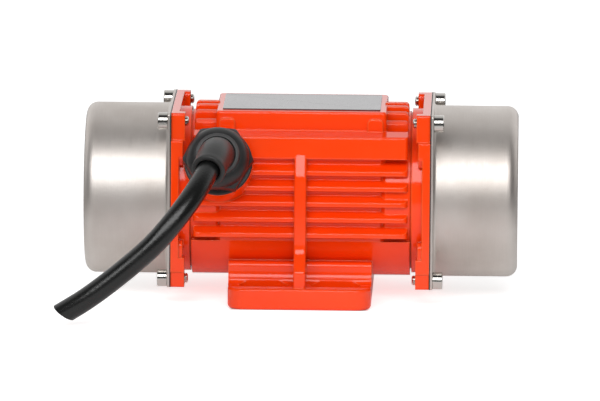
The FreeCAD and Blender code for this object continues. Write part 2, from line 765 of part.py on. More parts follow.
def outer_race():
    """Bearing outer ring at the +X end."""
    end_x = BEARING_SHOULDER_X + BEARING_WIDTH
    ring = tube_x(BEARING_OUTER_RADIUS, OUTER_RACE_RADIUS, BEARING_SHOULDER_X, end_x)
    return ring.cut(race_groove())


def inner_race():
    """Bearing inner ring at the +X end."""
    end_x = BEARING_SHOULDER_X + BEARING_WIDTH
    bore = BEARING_BORE_RADIUS + SEAT_CLEARANCE
    ring = tube_x(INNER_RACE_RADIUS, bore, BEARING_SHOULDER_X, end_x)
    return ring.cut(race_groove())


def balls(radius):
    """Spheres at the ball places of the +X bearing."""
    centre_x = BEARING_SHOULDER_X + BEARING_WIDTH / 2
    ball = Part.makeSphere(radius, Vector(centre_x, 0, ball_circle()))
    return turned_copies(ball, BALL_COUNT)


def ball_cage():
    """Ribbon cage whose pockets hold the balls, at the +X end."""
    centre_x = BEARING_SHOULDER_X + BEARING_WIDTH / 2
    half = CAGE_THICKNESS / 2
    ring = tube_x(ball_circle() + half, ball_circle() - half, centre_x - CAGE_WIDTH / 2,
                  centre_x + CAGE_WIDTH / 2)
    return ring.cut(balls(BALL_RADIUS + RUNNING_CLEARANCE))


# Stator and rotor ------------------------------------------------------------------------------------

def slot_section(margin):
    """End-view corners of one stator slot, shrunk by a margin for the coil inside it."""
    mouth = STATOR_SLOT_MOUTH / 2 - margin
    half = STATOR_SLOT_WIDTH / 2 - margin
    neck = STATOR_INNER_RADIUS + STATOR_TOOTH_TIP
    bottom = STATOR_INNER_RADIUS + STATOR_SLOT_DEPTH - margin
    wide = half * (bottom / neck)
    opening = [(-mouth, neck - 2), (mouth, neck - 2)] if margin == 0 else []
    throat = [(mouth, neck), (half, neck + margin + 0.6), (wide, bottom), (-wide, bottom),
              (-half, neck + margin + 0.6), (-mouth, neck)]
    if margin:
        throat = throat[1:5]
    return opening + throat


def stator_core():
    """Laminated pack with semi-closed slots."""
    half = CORE_LENGTH / 2
    pack = tube_x(STATOR_BORE_RADIUS, STATOR_INNER_RADIUS, -half, half)
    slot = prism_x(slot_section(0), -half, half)
    return pack.cut(turned_copies(slot, STATOR_SLOTS))


def stator_winding():
    """Coil sides in the slots, with a bound end turn at each end."""
    half = CORE_LENGTH / 2
    end = half + WINDING_OVERHANG
    start = half + 0.3
    head = turned([
        (start, WINDING_INNER_RADIUS, WINDING_ROUND), (end, WINDING_INNER_RADIUS, WINDING_ROUND),
        (end, WINDING_OUTER_RADIUS, WINDING_ROUND), (start, WINDING_OUTER_RADIUS, WINDING_ROUND),
    ])
    coil = prism_x(slot_section(INSULATION), -half - WINDING_OVERHANG / 2, half + WINDING_OVERHANG / 2)
    return joined([head, other_end(head)] + turned_copies(coil, STATOR_SLOTS))


def rotor_core():
    """Laminated rotor pack on the shaft."""
    half = CORE_LENGTH / 2
    return tube_x(STATOR_INNER_RADIUS - AIR_GAP, SHAFT_RADIUS + SEAT_CLEARANCE, -half, half)


def rotor_end_rings():
    """Cast short-circuit rings with mixing blades, one at each end of the rotor."""
    half = CORE_LENGTH / 2
    outer = STATOR_INNER_RADIUS - AIR_GAP - 0.6
    ring = tube_x(outer, CAGE_RING_INNER_RADIUS, half, half + CAGE_RING_WIDTH)
    low_z = CAGE_RING_INNER_RADIUS + 0.5
    blade = block((half + CAGE_RING_WIDTH - 0.5, -FAN_BLADE_WIDTH / 2, low_z),
                  (half + CAGE_RING_WIDTH + FAN_BLADE_LENGTH, FAN_BLADE_WIDTH / 2, outer - 0.5))
    ring = joined([ring] + turned_copies(blade, FAN_BLADES))
    return Part.makeCompound([ring, other_end(ring)])


def weight_end_x():
    """Outer face of the adjustable weight."""
    return WEIGHT_SHOULDER_X + 2 * WEIGHT_THICKNESS + DIAL_THICKNESS


def motor_shaft():
    """Stepped shaft with bearing seats, keyways and circlip grooves."""
    clip_x = weight_end_x()
    groove = SHAFT_END_RADIUS - CIRCLIP_GROOVE_DEPTH
    groove_end = clip_x + CIRCLIP_THICKNESS + 2 * CIRCLIP_PLAY
    half = [
        (BEARING_SHOULDER_X, SHAFT_RADIUS), (BEARING_SHOULDER_X, BEARING_BORE_RADIUS),
        (WEIGHT_SHOULDER_X, BEARING_BORE_RADIUS), (WEIGHT_SHOULDER_X, SHAFT_END_RADIUS),
        (clip_x, SHAFT_END_RADIUS), (clip_x, groove), (groove_end, groove),
        (groove_end, SHAFT_END_RADIUS),
        (SHAFT_END_X - SHAFT_CHAMFER, SHAFT_END_RADIUS),
        (SHAFT_END_X, SHAFT_END_RADIUS - SHAFT_CHAMFER), (SHAFT_END_X, 0),
    ]
    body = turned([(-x, radius) for x, radius in reversed(half)] + half)
    keyway = key_block()
    return body.cut([keyway, other_end(keyway)])


def key_block():
    """Parallel key of the +X fixed weight, in the top of the shaft."""
    low_z = SHAFT_END_RADIUS - KEY_DEPTH
    end_x = WEIGHT_SHOULDER_X + WEIGHT_THICKNESS + DIAL_THICKNESS
    return block((WEIGHT_SHOULDER_X, -KEY_WIDTH / 2, low_z), (end_x, KEY_WIDTH / 2, low_z + KEY_HEIGHT))


# Eccentric weights --------------------------------------------------------------------------------------

def weight_sector(low_x):
    """Heavy side of a weight, hanging below the shaft, with its hub."""
    hub = cylinder_x(WEIGHT_HUB_RADIUS, low_x, low_x + WEIGHT_THICKNESS)
    disc = cylinder_x(WEIGHT_RADIUS, low_x, low_x + WEIGHT_THICKNESS)
    spread = math.radians(WEIGHT_HALF_ANGLE_DEG)
    reach = 2 * WEIGHT_RADIUS
    side = (reach * math.sin(spread), -reach * math.cos(spread))
    wedge = prism_x([(0, 0), (-side[0], side[1]), (-side[0], -2 * reach), (side[0], -2 * reach), side],
                    low_x, low_x + WEIGHT_THICKNESS)
    return hub.fuse(disc.common(wedge)).removeSplitter()


def fixed_weight():
    """Keyed inner weight at the +X end."""
    low_x = WEIGHT_SHOULDER_X
    bore = cylinder_x(SHAFT_END_RADIUS + SEAT_CLEARANCE, low_x, low_x + WEIGHT_THICKNESS)
    return weight_sector(low_x).cut([bore, key_block()])


def adjustable_weight():
    """Outer weight at the +X end: it turns on the shaft until its split hub is clamped."""
    low_x = WEIGHT_SHOULDER_X + WEIGHT_THICKNESS + DIAL_THICKNESS
    high_x = low_x + WEIGHT_THICKNESS
    half = CLAMP_EAR_WIDTH / 2
    ears = prism_x([(-half, 0), (half, 0), (half, CLAMP_EAR_TOP, 2.0), (-half, CLAMP_EAR_TOP, 2.0)],
                   low_x, high_x)
    bore = cylinder_x(SHAFT_END_RADIUS + RUNNING_CLEARANCE, low_x, high_x)
    slit = block((low_x, -CLAMP_SLIT / 2, 0), (high_x, CLAMP_SLIT / 2, CLAMP_EAR_TOP + 1))
    middle_x = (low_x + high_x) / 2
    hole = Part.makeCylinder(CLAMP_SCREW_RADIUS + SEAT_CLEARANCE, CLAMP_EAR_WIDTH,
                             Vector(middle_x, -half, CLAMP_SCREW_Z), ALONG_Y)
    return weight_sector(low_x).fuse(ears).cut([bore, slit, hole]).removeSplitter()


def clamp_screw():
    """Screw that closes the split hub of the +X adjustable weight."""
    middle_x = WEIGHT_SHOULDER_X + WEIGHT_THICKNESS * 1.5 + DIAL_THICKNESS
    seat = Vector(middle_x, -CLAMP_EAR_WIDTH / 2, CLAMP_SCREW_Z)
    return socket_screw(CLAMP_HEAD_RADIUS, CLAMP_HEAD_HEIGHT, CLAMP_SCREW_RADIUS,
                        CLAMP_EAR_WIDTH - 1, CLAMP_SOCKET, seat, ALONG_Y * -1)


def force_dial():
    """Keyed disc between the weights, notched on its rim to set the force."""
    low_x = WEIGHT_SHOULDER_X + WEIGHT_THICKNESS
    high_x = low_x + DIAL_THICKNESS
    disc = tube_x(DIAL_RADIUS, SHAFT_END_RADIUS + SEAT_CLEARANCE, low_x, high_x)
    notch = block((low_x, -DIAL_NOTCH / 2, DIAL_RADIUS - 2 * DIAL_NOTCH),
                  (high_x, DIAL_NOTCH / 2, DIAL_RADIUS + 1))
    return disc.cut(turned_copies(notch, DIAL_TICKS) + [key_block()])


def shaft_circlip():
    """Open retaining ring in the groove outside the adjustable weight, at the +X end."""
    low_x = weight_end_x() + CIRCLIP_PLAY
    high_x = low_x + CIRCLIP_THICKNESS
    bore = SHAFT_END_RADIUS - CIRCLIP_GROOVE_DEPTH + CIRCLIP_PLAY
    ring = tube_x(CIRCLIP_RADIUS, bore, low_x, high_x)
    spread = math.radians(CIRCLIP_GAP_DEG / 2)
    reach = 2 * CIRCLIP_RADIUS
    wedge = prism_x([(0, 0), (reach * math.sin(spread), reach * math.cos(spread)),
                     (-reach * math.sin(spread), reach * math.cos(spread))], low_x, high_x)
    return ring.cut(wedge)


# Cable gland, boot and cable --------------------------------------------------------------------------------

def turned_on_gland(corners):
    """Profile of (distance, radius) corners turned about the gland line."""
    face = outline(corners, lambda distance, radius: Vector(radius, 0, distance))
    return gland_placed(face.revolve(ORIGIN, ALONG_Z, 360))


def gland_body():
    """Threaded entry with its hexagon and clamping neck."""
    seat = GLAND_SEAT_R
    neck_end = seat + GLAND_HEX_THICKNESS + GLAND_NUT_GAP + GLAND_NUT_LENGTH * 0.6
    core = turned_on_gland([
        (seat - GLAND_THREAD_LENGTH, 0), (seat - GLAND_THREAD_LENGTH, GLAND_THREAD_RADIUS),
        (seat, GLAND_THREAD_RADIUS), (seat, GLAND_NECK_RADIUS), (neck_end, GLAND_NECK_RADIUS),
        (neck_end, 0),
    ])
    hexagon = gland_placed(hex_prism(GLAND_HEX, Vector(0, 0, seat), GLAND_HEX_THICKNESS, ALONG_Z))
    bore = gland_placed(Part.makeCylinder(GLAND_BORE_RADIUS - 2, 200))
    return joined([core, hexagon]).cut(bore)


def gland_nut_start():
    """Near face of the domed nut, from the shaft axis."""
    return GLAND_SEAT_R + GLAND_HEX_THICKNESS + GLAND_NUT_GAP


def gland_nut():
    """Domed hexagon nut with its front ring."""
    start = gland_nut_start()
    end = start + GLAND_NUT_LENGTH
    dome_end = end - GLAND_RING_HEIGHT
    dome = turned_on_gland([
        (start, 0), (start, GLAND_NUT_RADIUS),
        (start + GLAND_NUT_LENGTH * 0.2, GLAND_NUT_RADIUS, GLAND_DOME_ROUND),
        (dome_end, GLAND_RING_RADIUS + GLAND_RING_HEIGHT), (dome_end, GLAND_RING_RADIUS),
        (end, GLAND_RING_RADIUS, GLAND_RING_HEIGHT / 2), (end, 0),
    ])
    hexagon = gland_placed(hex_prism(GLAND_NUT_HEX, Vector(0, 0, start), GLAND_NUT_LENGTH, ALONG_Z))
    neck_end = GLAND_NECK_RADIUS + SEAT_CLEARANCE
    hollow = gland_placed(Part.makeCylinder(neck_end, GLAND_NUT_LENGTH * 0.6 + 0.05, Vector(0, 0, start)))
    bore = gland_placed(Part.makeCylinder(GLAND_BORE_RADIUS, 200))
    return dome.common(hexagon).cut([hollow, bore])


def route_points():
    """Cable route as vectors about the shaft axis."""
    return [Vector(*point) for point in CABLE_ROUTE]


def boot_path():
    """Smooth line from inside the nut to the rim of the boot, past the cable's first point."""
    start = gland_point(gland_nut_start() + GLAND_NUT_LENGTH * 0.6)
    points = route_points()
    onward = (points[1] - points[0]).normalize()
    rim = points[0] + onward * BOOT_MOUTH_DEPTH
    span = start.distanceToPoint(rim) * 0.36
    curve = Part.BezierCurve()
    curve.setPoles([start, start + gland_direction() * span, rim - onward * span, rim])
    return curve


def cable_boot():
    """Tapered rubber boot that follows the bend out of the gland."""
    curve = boot_path()
    sections = []
    for index in range(BOOT_SECTIONS):
        share = index / (BOOT_SECTIONS - 1)
        radius = BOOT_ROOT_RADIUS + (BOOT_END_RADIUS - BOOT_ROOT_RADIUS) * share
        circle = Part.Circle(curve.value(share), curve.tangent(share)[0], radius)
        sections.append(Part.Wire(circle.toShape()))
    body = Part.makeLoft(sections, True)
    points = route_points()
    mouth = Part.makeCylinder(
        CABLE_DIAMETER / 2 + BOOT_MOUTH_GAP, 2 * BOOT_MOUTH_DEPTH, points[0], points[1] - points[0])
    return body.cut(mouth)


def cable():
    """Free cable: straight runs joined by tangent arcs, from the boot to its cut end."""
    points = route_points()
    edges = []
    last = points[0]
    for before, corner, after in zip(points, points[1:], points[2:]):
        turn = (corner - before).getAngle(after - corner)
        shorter = min(corner.distanceToPoint(before), corner.distanceToPoint(after))
        radius = ARC_SHARE * shorter / math.tan(turn / 2)
        print(f"cable arc radius {radius:.1f} mm, turn {math.degrees(turn):.1f} deg")
        start, middle, end = corner_edges(before, corner, after, radius)
        edges.append(Part.LineSegment(last, start).toShape())
        edges.append(Part.Arc(start, middle, end).toShape())
        last = end
    edges.append(Part.LineSegment(last, points[-1]).toShape())
    path = Part.Wire(edges)
    section = Part.Wire(Part.Circle(points[0], points[1] - points[0], CABLE_DIAMETER / 2).toShape())
    tube = path.makePipeShell([section], True, False)
    expected = math.pi * CABLE_DIAMETER ** 2 / 4 * path.Length
    print(f"cable length {path.Length:.1f} mm, volume {tube.Volume / expected:.4f} of section x length")
    return tube


# Export ---------------------------------------------------------------------------------------------------------

def save(name, shape):
    """Write one node, moved so that the origin lies under the foot."""
    placed = shape.copy()
    placed.translate(Vector(0, 0, AXIS_HEIGHT))
    if not placed.isValid():
        raise ValueError(f"{name} is not a valid shape")
    solids = placed.Solids
    result = solids[0] if len(solids) == 1 else Part.makeCompound(solids)
    result.exportStep(os.path.join("parts", name + ".step"))
    print(f"{name}: {len(solids)} solid(s), {sum(solid.Volume for solid in solids) / 1000:.2f} cm3")


def save_pair(name, shape):
    """Write the +X piece and its twin at the -X end."""
    save(name + "_right", shape)
    save(name + "_left", other_end(shape))


def main():
    os.makedirs("parts", exist_ok=True)
    save("motor_housing", motor_housing())
    save("nameplate", nameplate())
    save_pair("cover_gasket", cover_gasket())
    save_pair("end_cover", end_cover())
    save_pair("cover_screws", cover_screws())
    save_pair("bearing_bracket", bearing_bracket())
    save_pair("bracket_screws", bracket_screws())
    save_pair("bearing_outer_race", outer_race())
    save_pair("bearing_inner_race", inner_race())
    save_pair("bearing_balls", Part.makeCompound(balls(BALL_RADIUS)))
    save_pair("bearing_cage", ball_cage())
    save("stator_core", stator_core())
    save("stator_winding", stator_winding())
    save("motor_shaft", motor_shaft())
    save("rotor_core", rotor_core())
    save("rotor_end_rings", rotor_end_rings())
    save_pair("shaft_key", key_block())
    save_pair("fixed_weight", fixed_weight())
    save_pair("force_dial", force_dial())
    save_pair("adjustable_weight", adjustable_weight())
    save_pair("clamp_screw", clamp_screw())
    save_pair("shaft_circlip", shaft_circlip())
    save("gland_body", gland_body())
    save("gland_nut", gland_nut())
    save("cable_boot", cable_boot())
    save("power_cable", cable())


main()
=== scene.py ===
"""Visual model of a small foot-mounted vibration motor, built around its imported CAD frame.

Every length is in metres, in the row frame: +X along the shaft, +Z up from the mounting plane,
-Y the side that the cable leaves from.
"""

from __future__ import annotations

import json
import logging
import math
from collections.abc import Callable, Iterator, Sequence
from contextlib import contextmanager
from dataclasses import dataclass, field
from enum import Enum
from functools import partial

import bpy
from mathutils import Matrix, Vector

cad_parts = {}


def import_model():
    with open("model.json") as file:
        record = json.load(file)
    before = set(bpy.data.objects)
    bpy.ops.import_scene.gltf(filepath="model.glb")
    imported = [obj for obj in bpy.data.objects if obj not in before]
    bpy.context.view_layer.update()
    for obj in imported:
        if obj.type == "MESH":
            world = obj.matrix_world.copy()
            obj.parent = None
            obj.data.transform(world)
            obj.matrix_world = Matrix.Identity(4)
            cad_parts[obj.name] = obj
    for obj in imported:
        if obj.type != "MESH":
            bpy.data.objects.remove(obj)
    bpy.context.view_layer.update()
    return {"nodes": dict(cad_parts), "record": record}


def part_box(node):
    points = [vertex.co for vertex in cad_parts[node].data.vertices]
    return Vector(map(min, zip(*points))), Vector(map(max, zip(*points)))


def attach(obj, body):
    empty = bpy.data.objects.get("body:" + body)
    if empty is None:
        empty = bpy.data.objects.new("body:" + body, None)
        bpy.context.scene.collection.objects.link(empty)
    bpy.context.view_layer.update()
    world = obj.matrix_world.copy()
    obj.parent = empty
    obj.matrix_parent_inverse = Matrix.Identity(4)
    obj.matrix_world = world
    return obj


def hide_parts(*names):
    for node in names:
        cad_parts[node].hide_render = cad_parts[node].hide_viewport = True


LOG = logging.getLogger("vibration_motor")
FULL_TURN = 2 * math.pi
HEXAGON_SIDES = 6
FLATS_UP = 30.0

Span = tuple[float, float]
Point = tuple[float, float, float]
Colour = tuple[float, float, float, float]
Piece = bpy.types.Object
Tree = bpy.types.NodeTree
Socket = bpy.types.NodeSocket
Sockets = bpy.types.bpy_prop_collection
Material = bpy.types.Material
Finishes = dict[str, Material]

CENTRE: Point = (0.0, 0.0, 0.0)
WHITE: Colour = (1.0, 1.0, 1.0, 1.0)


class End(Enum):
    """Which end of the shaft a piece sits at."""

    LEFT = -1
    RIGHT = 1

    @property
    def word(self) -> str:
        """Lower-case name, as the CAD nodes carry it."""
        return self.name.lower()


class Axis(Enum):
    """Direction that a grain runs round."""

    X = (1.0, 0.0, 0.0)
    Z = (0.0, 0.0, 1.0)


class Element(Enum):
    """What is picked on a mesh, and the mesh's own list of it."""

    EDGE = "edges"
    FACE = "polygons"


# Node graphs ------------


class Graph:
    """Adds and links the nodes of one shader or group tree."""

    noise_range: Span = (0.3, 0.7)

    def __init__(self, tree: Tree) -> None:
        """Take hold of a tree and clear it."""
        self.tree = tree
        self.tree.nodes.clear()

    def node(self, kind: str, inputs: dict | None = None, **settings: object) -> bpy.types.Node:
        """Add one node.

        Args:
            kind: The node's type name, without "ShaderNode" in front.
            inputs: Socket name or index to a value, or to an output socket to link from.
            **settings: Properties of the node.

        Returns:
            The new node.
        """
        name = kind if kind.startswith("NodeGroup") else "ShaderNode" + kind
        made = self.tree.nodes.new(name)
        for key, value in settings.items():
            setattr(made, key, value)
        for key, value in (inputs or {}).items():
            self.put(made.inputs[key], value)
        return made

    def put(self, socket: Socket, value: object) -> None:
        """Link an output to a socket, or set the socket's own value.

        Args:
            socket: The input socket.
            value: An output socket, or a plain value.
        """
        if isinstance(value, Socket):
            self.tree.links.new(value, socket)
        else:
            socket.default_value = value

    def math(self, operation: str, first: object, second: object = 0.0) -> Socket:
        """Add a Math node and give its output."""
        return self.node("Math", {0: first, 1: second}, operation=operation).outputs[0]

    def vector_math(self, operation: str, inputs: dict, output: str = "Vector") -> Socket:
        """Add a Vector Math node and give one of its outputs."""
        return self.node("VectorMath", inputs, operation=operation).outputs[output]

    def noise(self, vector: Socket, scale: Socket, detail: float) -> Socket:
        """Add a Noise texture and give its factor."""
        made = self.node("TexNoise", {"Vector": vector, "Scale": scale, "Detail": detail})
        return made.outputs[0]

    def remap(
        self, value: Socket, low: float, high: float, to_low: float = 0.0, to_high: float = 1.0
    ) -> Socket:
        """Map a range of values to another, clamped.

        Args:
            value: The socket to map.
            low: Start of the range it comes from.
            high: End of the range it comes from.
            to_low: Start of the range it goes to.
            to_high: End of the range it goes to.

        Returns:
            The mapped value's socket.
        """
        inputs = {"Value": value, 1: low, 2: high, 3: to_low, 4: to_high}
        return self.node("MapRange", inputs, clamp=True).outputs[0]

    def spread(self, noise: Socket) -> Socket:
        """Stretch a noise's usual range over 0 to 1."""
        return self.remap(noise, *self.noise_range)

    def mix(self, factor: Socket, first: object, second: object) -> Socket:
        """Mix two colours and give the result's socket."""
        inputs = {"Factor": factor, 6: first, 7: second}
        return self.node("Mix", inputs, data_type="RGBA").outputs[2]

    def object_space(self, centre: Point = CENTRE) -> Socket:
        """Object coordinates, measured from a centre.

        Args:
            centre: The point that becomes the pattern's own origin.

        Returns:
            The moved coordinates' socket.
        """
        coordinates = self.node("TexCoord").outputs["Object"]
        place = tuple(-value for value in centre)
        return self.node("Mapping", {"Vector": coordinates, "Location": place}).outputs[0]


def new_group(
    name: str, ins: dict[str, str], outs: dict[str, str]
) -> tuple[Graph, Sockets, Sockets]:
    """Start a shader node group with named sockets.

    Args:
        name: Name of the group.
        ins: Input name to its socket type.
        outs: Output name to its socket type.

    Returns:
        The group's graph, the sockets its inputs come in by and those its results leave by.
    """
    tree = bpy.data.node_groups.new(name, "ShaderNodeTree")
    for side, sockets in (("INPUT", ins), ("OUTPUT", outs)):
        for label, kind in sockets.items():
            tree.interface.new_socket(label, in_out=side, socket_type="NodeSocket" + kind)
    graph = Graph(tree)
    return graph, graph.node("NodeGroupInput").outputs, graph.node("NodeGroupOutput").inputs


class Effects:
    """Shader node groups that several finishes share."""

    samples: int = 6
    flat_to_sharp: Span = (0.99, 0.75)
    shut_to_open: Span = (0.3, 0.9)
    peel_share: float = 0.25

    def __init__(self) -> None:
        """Build every group once."""
        self.rounded = self._rounded_edges()
        self.mottle = self._mottle()
        self.turned_grain = self._turned_grain()
        self.skin = self._skin()
        self.crevice = self._crevice()

    def _rounded_edges(self) -> Tree:
        """Normal rounded over edges, and a mask of where the edges are.

        Returns:
            The group.
        """
        graph, enter, leave = new_group(
            "rounded_edges", {"Radius": "Float"}, {"Normal": "Vector", "Edge": "Float"}
        )
        bevel = graph.node("Bevel", {"Radius": enter["Radius"]}, samples=self.samples).outputs[0]
        plain = graph.node("NewGeometry").outputs["Normal"]
        likeness = graph.vector_math("DOT_PRODUCT", {0: bevel, 1: plain}, "Value")
        graph.put(leave["Normal"], bevel)
        graph.put(leave["Edge"], graph.remap(likeness, *self.flat_to_sharp))
        return graph.tree

    def _mottle(self) -> Tree:
        """Broad and fine cloudiness for colour and gloss.

        Returns:
            The group.
        """
        graph, enter, leave = new_group(
            "mottle",
            {"Vector": "Vector", "Broad": "Float", "Fine": "Float"},
            {"Cloud": "Float", "Speck": "Float"},
        )
        for result, scale, detail in (("Cloud", "Broad", 4.0), ("Speck", "Fine", 2.0)):
            noise = graph.noise(enter["Vector"], enter[scale], detail)
            graph.put(leave[result], graph.spread(noise))
        return graph.tree

    def _turned_grain(self) -> Tree:
        """Fine lines that run round an axis through the pattern's origin.

        Returns:
            The group.
        """
        graph, enter, leave = new_group(
            "turned_grain",
            {"Vector": "Vector", "Axis": "Vector", "Across": "Float", "Along": "Float"},
            {"Line": "Float"},
        )
        place, axis = enter["Vector"], enter["Axis"]
        depth = graph.vector_math("DOT_PRODUCT", {0: place, 1: axis}, "Value")
        along = graph.vector_math("SCALE", {0: axis, 3: depth})
        radial = graph.vector_math("SUBTRACT", {0: place, 1: along})
        radius = graph.vector_math("LENGTH", {0: radial}, "Value")
        bearing = graph.vector_math("NORMALIZE", {0: radial})
        slow = graph.vector_math("SCALE", {0: bearing, 3: enter["Along"]})
        quick = graph.math("MULTIPLY", graph.math("ADD", depth, radius), enter["Across"])
        inputs = {"Vector": slow, "W": quick, "Scale": 1.0, "Detail": 2.0}
        lines = graph.node("TexNoise", inputs, noise_dimensions="4D").outputs[0]
        graph.put(leave["Line"], graph.spread(lines))
        return graph.tree

    def _skin(self) -> Tree:
        """Orange peel and the slow waviness of a cast or moulded skin.

        Returns:
            The group.
        """
        graph, enter, leave = new_group(
            "skin", {"Vector": "Vector", "Peel": "Float", "Wave": "Float"}, {"Height": "Float"}
        )
        peel = graph.noise(enter["Vector"], enter["Peel"], detail=1.0)
        wave = graph.noise(enter["Vector"], enter["Wave"], detail=2.0)
        height = graph.math("ADD", graph.math("MULTIPLY", peel, self.peel_share), wave)
        graph.put(leave["Height"], height)
        return graph.tree

    def _crevice(self) -> Tree:
        """Mask of corners and grooves, from ambient occlusion, where painted shade goes.

        Returns:
            The group.
        """
        graph, enter, leave = new_group("crevice", {"Reach": "Float"}, {"Mask": "Float"})
        shade = graph.node(
            "AmbientOcclusion", {"Distance": enter["Reach"]}, samples=self.samples, only_local=True
        )
        graph.put(leave["Mask"], graph.remap(shade.outputs["AO"], *self.shut_to_open, 1.0, 0.0))
        return graph.tree


# Finishes ------------


class Surface(Graph):
    """Graph of one material, with its shader, softened edges and cloudy pattern."""

    def __init__(
        self, look: Look, effects: Effects, constants: dict[str, float], centre: Point = CENTRE
    ) -> None:
        """Start the material.

        Args:
            look: The finish, which has a name, an edge radius, cloud scales and a relief.
            effects: The shared node groups.
            constants: Socket name to the value it has all over the surface.
            centre: Origin of the patterns.
        """
        self.look = look
        self.material = bpy.data.materials.new(look.name)
        self.material.use_nodes = True
        super().__init__(self.material.node_tree)
        self.shader = self.node("BsdfPrincipled", constants)
        self.node("OutputMaterial", {"Surface": self.shader.outputs[0]})
        self.place = self.object_space(centre)
        self.edges = self.effect(effects.rounded, {"Radius": look.edge_radius})
        broad, fine = look.clouds
        scales = {"Broad": broad, "Fine": fine}
        self.cloud = self.effect(effects.mottle, {"Vector": self.place, **scales})

    def effect(self, group: Tree, inputs: dict) -> Sockets:
        """Put a shared group in with the material's own values, and give its outputs."""
        return self.node("Group", inputs, node_tree=group).outputs

    def finish(self, tint: Socket, roughness: Socket, height: Socket) -> Material:
        """Feed the shader.

        Args:
            tint: The base colour.
            roughness: The roughness.
            height: Height of the fine relief.

        Returns:
            The finished material.
        """
        strength, depth = self.look.relief
        inputs = {"Strength": strength, "Distance": depth, "Height": height}
        bump = self.node("Bump", {**inputs, "Normal": self.edges["Normal"]}).outputs[0]
        feeds = {"Base Color": tint, "Roughness": roughness, "Normal": bump}
        for label, socket in feeds.items():
            self.put(self.shader.inputs[label], socket)
        return self.material


@dataclass(frozen=True)
class GlossEnamel:
    """Thick gloss enamel over a casting: orange peel, softened edges, a painted highlight along the
    edges and painted shade in the corners.
    """

    name: str = "orange_enamel"
    face: Colour = (0.86, 0.046, 0.0008, 1.0)
    # Paler tone for the cloud, also laid along the edges as a painted highlight.
    thin: Colour = (0.98, 0.150, 0.035, 1.0)
    # Painted shade, laid into corners and grooves by the ambient occlusion mask.
    deep: Colour = (0.44, 0.014, 0.0006, 1.0)
    roughness: Span = (0.08, 0.13)
    ior: float = 1.5
    edge_radius: float = 0.0011
    corner_reach: float = 0.003
    clouds: Span = (45.0, 700.0)
    peel: float = 1400.0
    wave: float = 260.0
    cloud_mix: float = 0.06
    edge_mix: float = 0.8
    corner_mix: float = 0.30
    relief: Span = (0.07, 0.0002)

    def build(self, effects: Effects) -> Material:
        """Make the material.

        Args:
            effects: The shared node groups.

        Returns:
            The finished material.
        """
        graph = Surface(self, effects, {"IOR": self.ior})
        corners = graph.effect(effects.crevice, {"Reach": self.corner_reach})
        scales = {"Peel": self.peel, "Wave": self.wave}
        skin = graph.effect(effects.skin, {"Vector": graph.place, **scales})
        tint = self.face
        for mask, share, colour in (
            (graph.cloud["Cloud"], self.cloud_mix, self.thin),
            # Painted highlight: the pale tone along every rounded edge.
            (graph.edges["Edge"], self.edge_mix, self.thin),
            # Painted shade where ambient occlusion finds corners and grooves.
            (corners["Mask"], self.corner_mix, self.deep),
        ):
            tint = graph.mix(graph.math("MULTIPLY", mask, share), tint, colour)
        roughness = graph.remap(graph.cloud["Speck"], 0.0, 1.0, *self.roughness)
        return graph.finish(tint, roughness, skin["Height"])


@dataclass(frozen=True)
class TurnedMetal:
    """Bare metal with fine lines round an axis, faint stains and softened edges."""

    name: str
    light: Colour
    dark: Colour
    roughness: Span
    centre: Point = CENTRE
    axis: Axis = Axis.X
    across: float = 2500.0
    along: float = 4.0
    clouds: Span = (28.0, 900.0)
    stain: float = 0.75
    polish: float = -0.08
    speck: float = 0.5
    relief: Span = (0.12, 0.0001)
    edge_radius: float = 0.0003

    def build(self, effects: Effects) -> Material:
        """Make the material.

        Args:
            effects: The shared node groups.

        Returns:
            The finished material.
        """
        graph = Surface(self, effects, {"Metallic": 1.0}, self.centre)
        scales = {"Axis": self.axis.value, "Across": self.across, "Along": self.along}
        lines = graph.effect(effects.turned_grain, {"Vector": graph.place, **scales})["Line"]
        stain = graph.math("MULTIPLY", graph.cloud["Cloud"], self.stain)
        worn = graph.math("MULTIPLY", graph.edges["Edge"], self.polish)
        speck = graph.math("MULTIPLY", graph.cloud["Speck"], self.speck)
        return graph.finish(
            graph.mix(stain, self.light, self.dark),
            graph.math("ADD", graph.remap(lines, 0.0, 1.0, *self.roughness), worn),
            graph.math("ADD", lines, speck),
        )


@dataclass(frozen=True)
class DullSkin:
    """Rubber, nylon, varnish or iron: a matt skin with a fine texture and lighter rubbed edges."""

    name: str
    body: Colour
    rubbed: Colour
    roughness: Span
    metallic: float = 0.0
    ior: float = 1.5
    clouds: Span = (60.0, 1100.0)
    rub: float = 0.5
    bloom: float = 0.35
    relief: Span = (0.25, 0.00012)
    edge_radius: float = 0.0004

    def build(self, effects: Effects) -> Material:
        """Make the material.

        Args:
            effects: The shared node groups.

        Returns:
            The finished material.
        """
        graph = Surface(self, effects, {"Metallic": self.metallic, "IOR": self.ior})
        cloud = graph.cloud["Cloud"]
        rubbed = graph.math("MULTIPLY", graph.edges["Edge"], self.rub)
        bloom = graph.math("MULTIPLY", cloud, self.bloom)
        return graph.finish(
            graph.mix(graph.math("MAXIMUM", rubbed, bloom), self.body, self.rubbed),
            graph.remap(cloud, 0.0, 1.0, *self.roughness),
            graph.cloud["Speck"],
        )


Look = GlossEnamel | TurnedMetal | DullSkin


# Bench tools ------------


def deselect() -> None:
    """Leave nothing selected, so that an operator acts on one piece only."""
    if bpy.context.object is not None and bpy.context.object.mode != "OBJECT":
        bpy.ops.object.mode_set(mode="OBJECT")
    bpy.ops.object.select_all(action="DESELECT")


def take(piece: Piece) -> None:
    """Select one piece alone and make it the active one.

    Args:
        piece: The piece.
    """
    deselect()
    piece.select_set(True)
    bpy.context.view_layer.objects.active = piece


def start(name: str) -> Piece:
    """Name the object that was just added, joined or converted.

    Args:
        name: The piece's name.

    Returns:
        The object.
    """
    piece = bpy.context.object
    piece.name = name
    piece.data.name = name
    return piece


